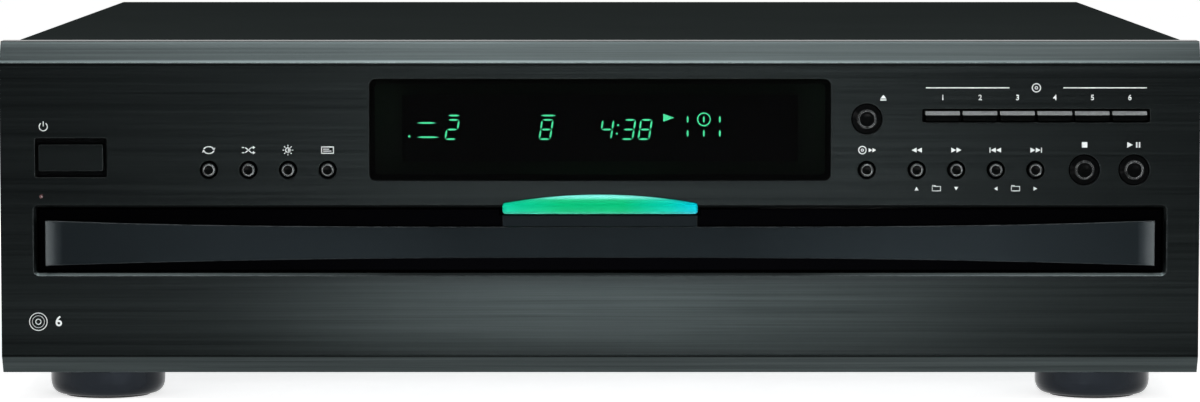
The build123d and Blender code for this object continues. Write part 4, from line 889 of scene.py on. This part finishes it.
def ridge_tree():
    """Round ridges in the carousel's wells, left open where the slot runs out."""
    inputs = [("Wells", "Int", 6), ("Ring Radius", "Float", 0.125), ("Ridge Radius", "Float", 0.055),
              ("Ridge", "Float", 0.0004), ("Opening", "Float", 0.4), ("Material", "Material", None)]
    tree, given, out = geometry_tree("well ridges", inputs)
    sweep = calc(tree, "SUBTRACT", 2 * pi, given["Opening"])
    start = calc(tree, "MULTIPLY", given["Opening"], 0.5)
    arc = put(tree, "GeometryNodeCurveArc", Resolution=72, Radius=given["Ridge Radius"],
              Start_Angle=start, Sweep_Angle=sweep)
    profile = put(tree, "GeometryNodeCurvePrimitiveCircle", Resolution=8, Radius=given["Ridge"])
    ridge = put(tree, "GeometryNodeCurveToMesh", Curve=arc.outputs[0], Profile_Curve=profile.outputs[0],
                Fill_Caps=True)
    ring = put(tree, "GeometryNodeMeshCircle", Vertices=given["Wells"], Radius=given["Ring Radius"])
    spot = tree.nodes.new("GeometryNodeInputPosition")
    parts = put(tree, "ShaderNodeSeparateXYZ", Vector=spot.outputs[0])
    heading = calc(tree, "ARCTAN2", parts.outputs[Y], parts.outputs[X])
    angles = put(tree, "ShaderNodeCombineXYZ", Z=heading)
    turn = put(tree, "FunctionNodeEulerToRotation", Euler=angles.outputs[0])
    wheel = put(tree, "GeometryNodeInstanceOnPoints", Points=ring.outputs[0], Instance=ridge.outputs[0],
                Rotation=turn.outputs[0])
    places = put(tree, "GeometryNodeInstanceOnPoints", Points=given["Geometry"], Instance=wheel.outputs[0])
    close_tree(tree, places.outputs[0], given["Material"], out)
    return tree


def points_mesh(name, spots, **values):
    """A mesh of single points with float values on them."""
    made = bpy.data.meshes.new(name)
    made.from_pydata(spots, [], [])
    for label, numbers in values.items():
        made.attributes.new(label, "FLOAT", "POINT").data.foreach_set("value", numbers)
    return made


# ---- lit display
DIGIT_HEIGHT = 7.0
DIGIT_WIDTH = 3.9
SLANT = 9.0                    # degrees
SEGMENTS = {"top": (0, 1, 0), "high_right": (1, 0.5, 90), "low_right": (1, -0.5, 90), "bottom": (0, -1, 0),
            "low_left": (-1, -0.5, 90), "high_left": (-1, 0.5, 90), "middle": (0, 0, 0)}
LIT = {2: ("top", "high_right", "middle", "low_left", "bottom"),
       3: ("top", "high_right", "middle", "low_right", "bottom"),
       4: ("high_left", "high_right", "middle", "low_right"),
       8: tuple(SEGMENTS)}


def digit_strokes(digit, u, v):
    """Strokes of one lit digit: u, v, length and lean in millimetres and degrees."""
    strokes = []
    for label in LIT[digit]:
        across, up, lean = SEGMENTS[label]
        rise = up * DIGIT_HEIGHT / 2
        shift = rise * tan(radians(SLANT))
        upright = lean == 90
        length = DIGIT_HEIGHT / 2 / cos(radians(SLANT)) if upright else DIGIT_WIDTH
        strokes.append((u + across * DIGIT_WIDTH / 2 + shift, v + rise, length * 0.94,
                        90 - SLANT if upright else 0))
    return strokes


def lit_strokes():
    """Digits, bars and ticks that shine, about the middle of the window."""
    strokes = []
    for digit, u in ((2, -53.8), (8, -19.6), (4, 2.5), (3, 10.4), (8, 16.4)):
        strokes += digit_strokes(digit, u, -0.4)
    for u, v, length in ((-63.1, 2.0, 7.0), (-62.6, -3.2, 8.0), (-53.1, 4.7, 4.2), (-18.8, 4.7, 5.6)):
        strokes.append((u, v, length, 0))
    for v in (1.2, -1.9):
        strokes.append((6.4 + v * 0.16, v, 0.8, 0))
    for u in (31.9, 37.8, 43.6):
        for v in (3.3, -1.8):
            strokes.append((u, v, 2.6, 90))
    return strokes


def display_pieces():
    """The display tube's lit marks and its fine wires."""
    glow = glowing("phosphor", (0.095, 0.92, 0.42), 8.0).material
    front = tube_front - 0.08 * MM
    strokes = lit_strokes()
    spots = [(window.x + u * MM, front, window.z + v * MM) for u, v, length, lean in strokes]
    base = points_mesh("stroke_points", spots, length=[length * MM for u, v, length, lean in strokes],
                       lean=[-radians(lean) for u, v, length, lean in strokes])
    grow("display_strokes", stroke_tree(), "root", base, Stroke=0.72 * MM, Depth=0.12 * MM, Material=glow)
    marks = Marks(0.12, 0.0)
    plane = front_plane(window.x, window.z, tube_front)
    marks.arrow(plane, 25.0, 3.9, 4.0, 2.9)
    marks.arc(plane, 37.8, 3.3, 2.3, 0.4)
    marks.arc(plane, -69.4, -2.9, 0.25, 0.3)
    marks.done("display_signs", "root", glow)
    wires = skin("display_wires", (0.02, 0.022, 0.022), rough=(0.3, 0.4), size=2000.0, worn_and_lit_amount=0.0,
                 Metallic=1.0).material
    field = 130.0 * MM
    base = points_mesh("wire_start", [(window.x - field / 2, tube_front - 0.3 * MM, window.z)])
    grow("display_grid", wire_tree(), "root", base, Width=field, Height=18 * MM, Pitch=1.0 * MM,
         Wire=0.06 * MM, Material=wires)


display_pieces()


# ---- standby light
def standby_light():
    """Tiny lamp under the power button, unlit while the player is on."""
    made = skin("standby_lens", (0.06, 0.008, 0.007), rough=(0.12, 0.2), size=900.0, depth=0.003 * MM,
                worn_and_lit_amount=0.0, Coat_Weight=0.5).material
    plane = over("power_button", -14.1, -10.9)
    profile = [(0, -0.4), (0.75, -0.4), (0.75, 0.1), (0.6, 0.32), (0.3, 0.45), (0, 0.5)]
    lathe("standby_lamp", profile, plane, "root", made, 24)


standby_light()


# ---- carousel, seen with the drawer out
WELL_RING = 0.125              # from the carousel's middle to a well's
WELL_DEPTH = 1.8               # millimetres down to a well's floor


def carousel_details():
    """Ridges in the wells that hold a disc's rim and middle, and the wells' numbers."""
    tree = ridge_tree()
    floor_z = carousel_top - WELL_DEPTH * MM
    for name, radius, opening in (("rim_ridges", 0.0585, 0.62), ("hub_ridges", 0.0205, 1.85)):
        base = points_mesh(name + "_middle", [(carousel.x, carousel.y, floor_z)])
        grow(name, tree, "carousel", base, Wells=wells, Ring_Radius=WELL_RING, Ridge_Radius=radius,
             Ridge=0.35 * MM, Opening=opening, Material=finishes["black_plastic"])
    marks = Marks(0.04, 0.01)
    for step in range(wells):
        turn = pi - radians(360 / wells * step)
        plane = top_plane(carousel.x, carousel.y, carousel_top, turn)
        marks.number(plane, 0, 47.0, step + 1, 6.0)
    marks.done("well_numbers", "carousel", print_grey)


carousel_details()


# ---- rear
SOCKET_HALF = 7.5              # half the side of a socket's block


def socket_insert(name, node_x, z, colour):
    """Coloured ring in the mouth of a round socket."""
    made = skin(name + "_plastic", colour, shade=0.85, rough=(0.3, 0.45), size=1200.0, worn_and_lit_amount=0.1).material
    profile = [(1.62, -1.0), (3.2, -1.0), (3.2, 0.12), (2.9, 0.3), (1.9, 0.3), (1.62, 0.12)]
    lathe(name, profile, rear_plane(node_x, z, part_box("audio_jacks")[1].y), "root", made, 36)


def rear_details():
    """Inserts of the round sockets, the optical socket's shutter and printed frames round the sockets."""
    low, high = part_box("audio_jacks")
    half = SOCKET_HALF * MM
    spots = [low.x + half, high.x - half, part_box("digital_jacks")[0].x + half]
    z = high.z - half
    for name, x, colour in zip(("white_insert", "red_insert", "orange_insert"), spots,
                               ((0.7, 0.7, 0.68), (0.45, 0.012, 0.012), (0.65, 0.16, 0.01))):
        socket_insert(name, x, z, colour)
    shutter = Marks(-4.0, 4.6)
    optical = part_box("digital_jacks")[1].x - half
    shutter.bar(rear_plane(optical, z), 0, 0, 5.0, 5.0)
    shutter.done("optical_shutter", "root", finishes["moulded_parts"])
    marks = Marks()
    for first, last in ((spots[0], spots[1]), (spots[2], optical)):
        plane = rear_plane((first + last) / 2, z)
        reach = (last - first) / 2 / MM + 8.5
        for side in (-1, 1):
            marks.bar(plane, 0, side * 9.0, 2 * reach, 0.35)
            marks.bar(plane, side * reach, 0, 0.35, 18.35)
    for x in (spots[0], spots[1], spots[2], optical):
        marks.arrow(rear_plane(x, z + 12.2 * MM), 0, 0, 2.0, 2.6, 90)
    inlet = rear_plane(middle("power_inlet").x, z + 15.5 * MM)
    marks.arc(inlet, -1.25, 0, 1.25, 0.35, 0, 180)
    marks.arc(inlet, 1.25, 0, 1.25, 0.35, 180, 360)
    marks.done("rear_marks", "root", print_grey)


rear_details()


# ---- studio
BACKDROP_LIGHT = 0.40          # light of the backdrop, of what it shows
FLOOR_GLOW = 0.68
EYE_BACK = 1.737               # metres before the face
EYE_RISE = 0.208
AIM_RISE = 0.0732
FOCAL_LENGTH = 144.1           # millimetres, on a sensor of the width below
SENSOR = 36.0


def light_path_white(tree):
    """1 for rays that show the backdrop itself, straight or in gloss and glass, and 0 for light."""
    rays = tree.nodes.new("ShaderNodeLightPath").outputs
    shown = calc(tree, "MAXIMUM", rays["Is Camera Ray"], rays["Is Glossy Ray"])
    return calc(tree, "MAXIMUM", shown, rays["Is Transmission Ray"])


def studio_world():
    """A white surround that lights softly."""
    world = bpy.data.worlds.new("studio")
    world.use_nodes = True
    tree = world.node_tree
    background = tree.nodes["Background"]
    background.inputs["Color"].default_value = rgb(1.0, 1.0, 1.0)
    strength = spread(tree, light_path_white(tree), 0.0, 1.0, BACKDROP_LIGHT, 1.0)
    tree.links.new(strength, background.inputs["Strength"])
    bpy.context.scene.world = world


def studio_floor():
    """A plain pale floor that keeps the object's shadow."""
    half = 12.0
    made = bpy.data.meshes.new("floor")
    corners = [(-half, -half, 0), (half, -half, 0), (half, half, 0), (-half, half, 0)]
    made.from_pydata(corners, [], [(0, 1, 2, 3)])
    floor = add("floor", made)
    look = Finish("pale_floor", Specular_IOR_Level=0.0)
    patch = look.use(handling, Scale=1.5)["Patch"]
    look.feed("Base_Color", blend(look.tree, patch, rgb(0.78, 0.78, 0.78), rgb(0.80, 0.80, 0.80)))
    look.feed("Roughness", spread(look.tree, patch, 0.0, 1.0, 0.85, 0.95))
    look.shader.inputs["Emission Color"].default_value = rgb(1.0, 1.0, 1.0)
    look.feed("Emission_Strength", calc(look.tree, "MULTIPLY", light_path_white(look.tree), FLOOR_GLOW))
    made.materials.append(look.material)


def softbox(name, spot, aim, width, height, radiance):
    """A soft rectangular lamp that faces a point, of a given brightness."""
    lamp = bpy.data.lights.new(name, "AREA")
    lamp.shape = "RECTANGLE"
    lamp.size = width
    lamp.size_y = height
    lamp.energy = radiance * pi * width * height
    holder = add(name, lamp)
    holder.location = spot
    holder.rotation_euler = (Vector(aim) - Vector(spot)).to_track_quat("-Z", "Y").to_euler()


def studio_camera():
    """Eye a little above the player, looking slightly down at its front."""
    eye = Vector((0.0, face_y - EYE_BACK, EYE_RISE))
    aim = Vector((0.0, face_y, AIM_RISE))
    camera = bpy.data.cameras.new("camera")
    camera.lens = FOCAL_LENGTH
    camera.sensor_width = SENSOR
    holder = add("camera", camera)
    holder.location = eye
    holder.rotation_euler = (aim - eye).to_track_quat("-Z", "Y").to_euler()
    bpy.context.scene.camera = holder


studio_world()
studio_floor()
softbox("overhead_softbox", (0.0, -0.75, 1.25), (0.0, -0.15, 0.08), 0.72, 0.45, 8.0)
softbox("rear_softbox", (0.3, 1.4, 1.1), (0.0, 0.0, 0.08), 1.0, 0.6, 1.5)
for side in (-1, 1):
    softbox("side_strip", (side * 0.85, -1.15, 0.4), (side * 0.1, face_y, 0.07), 0.12, 0.6, 11.0)
softbox("floor_lamp", (0.02, -0.60, 0.06), (0.02, -0.599, 0.0), 0.30, 0.24, 30.0)
studio_camera()
bpy.context.scene.view_settings.view_transform = "Standard"
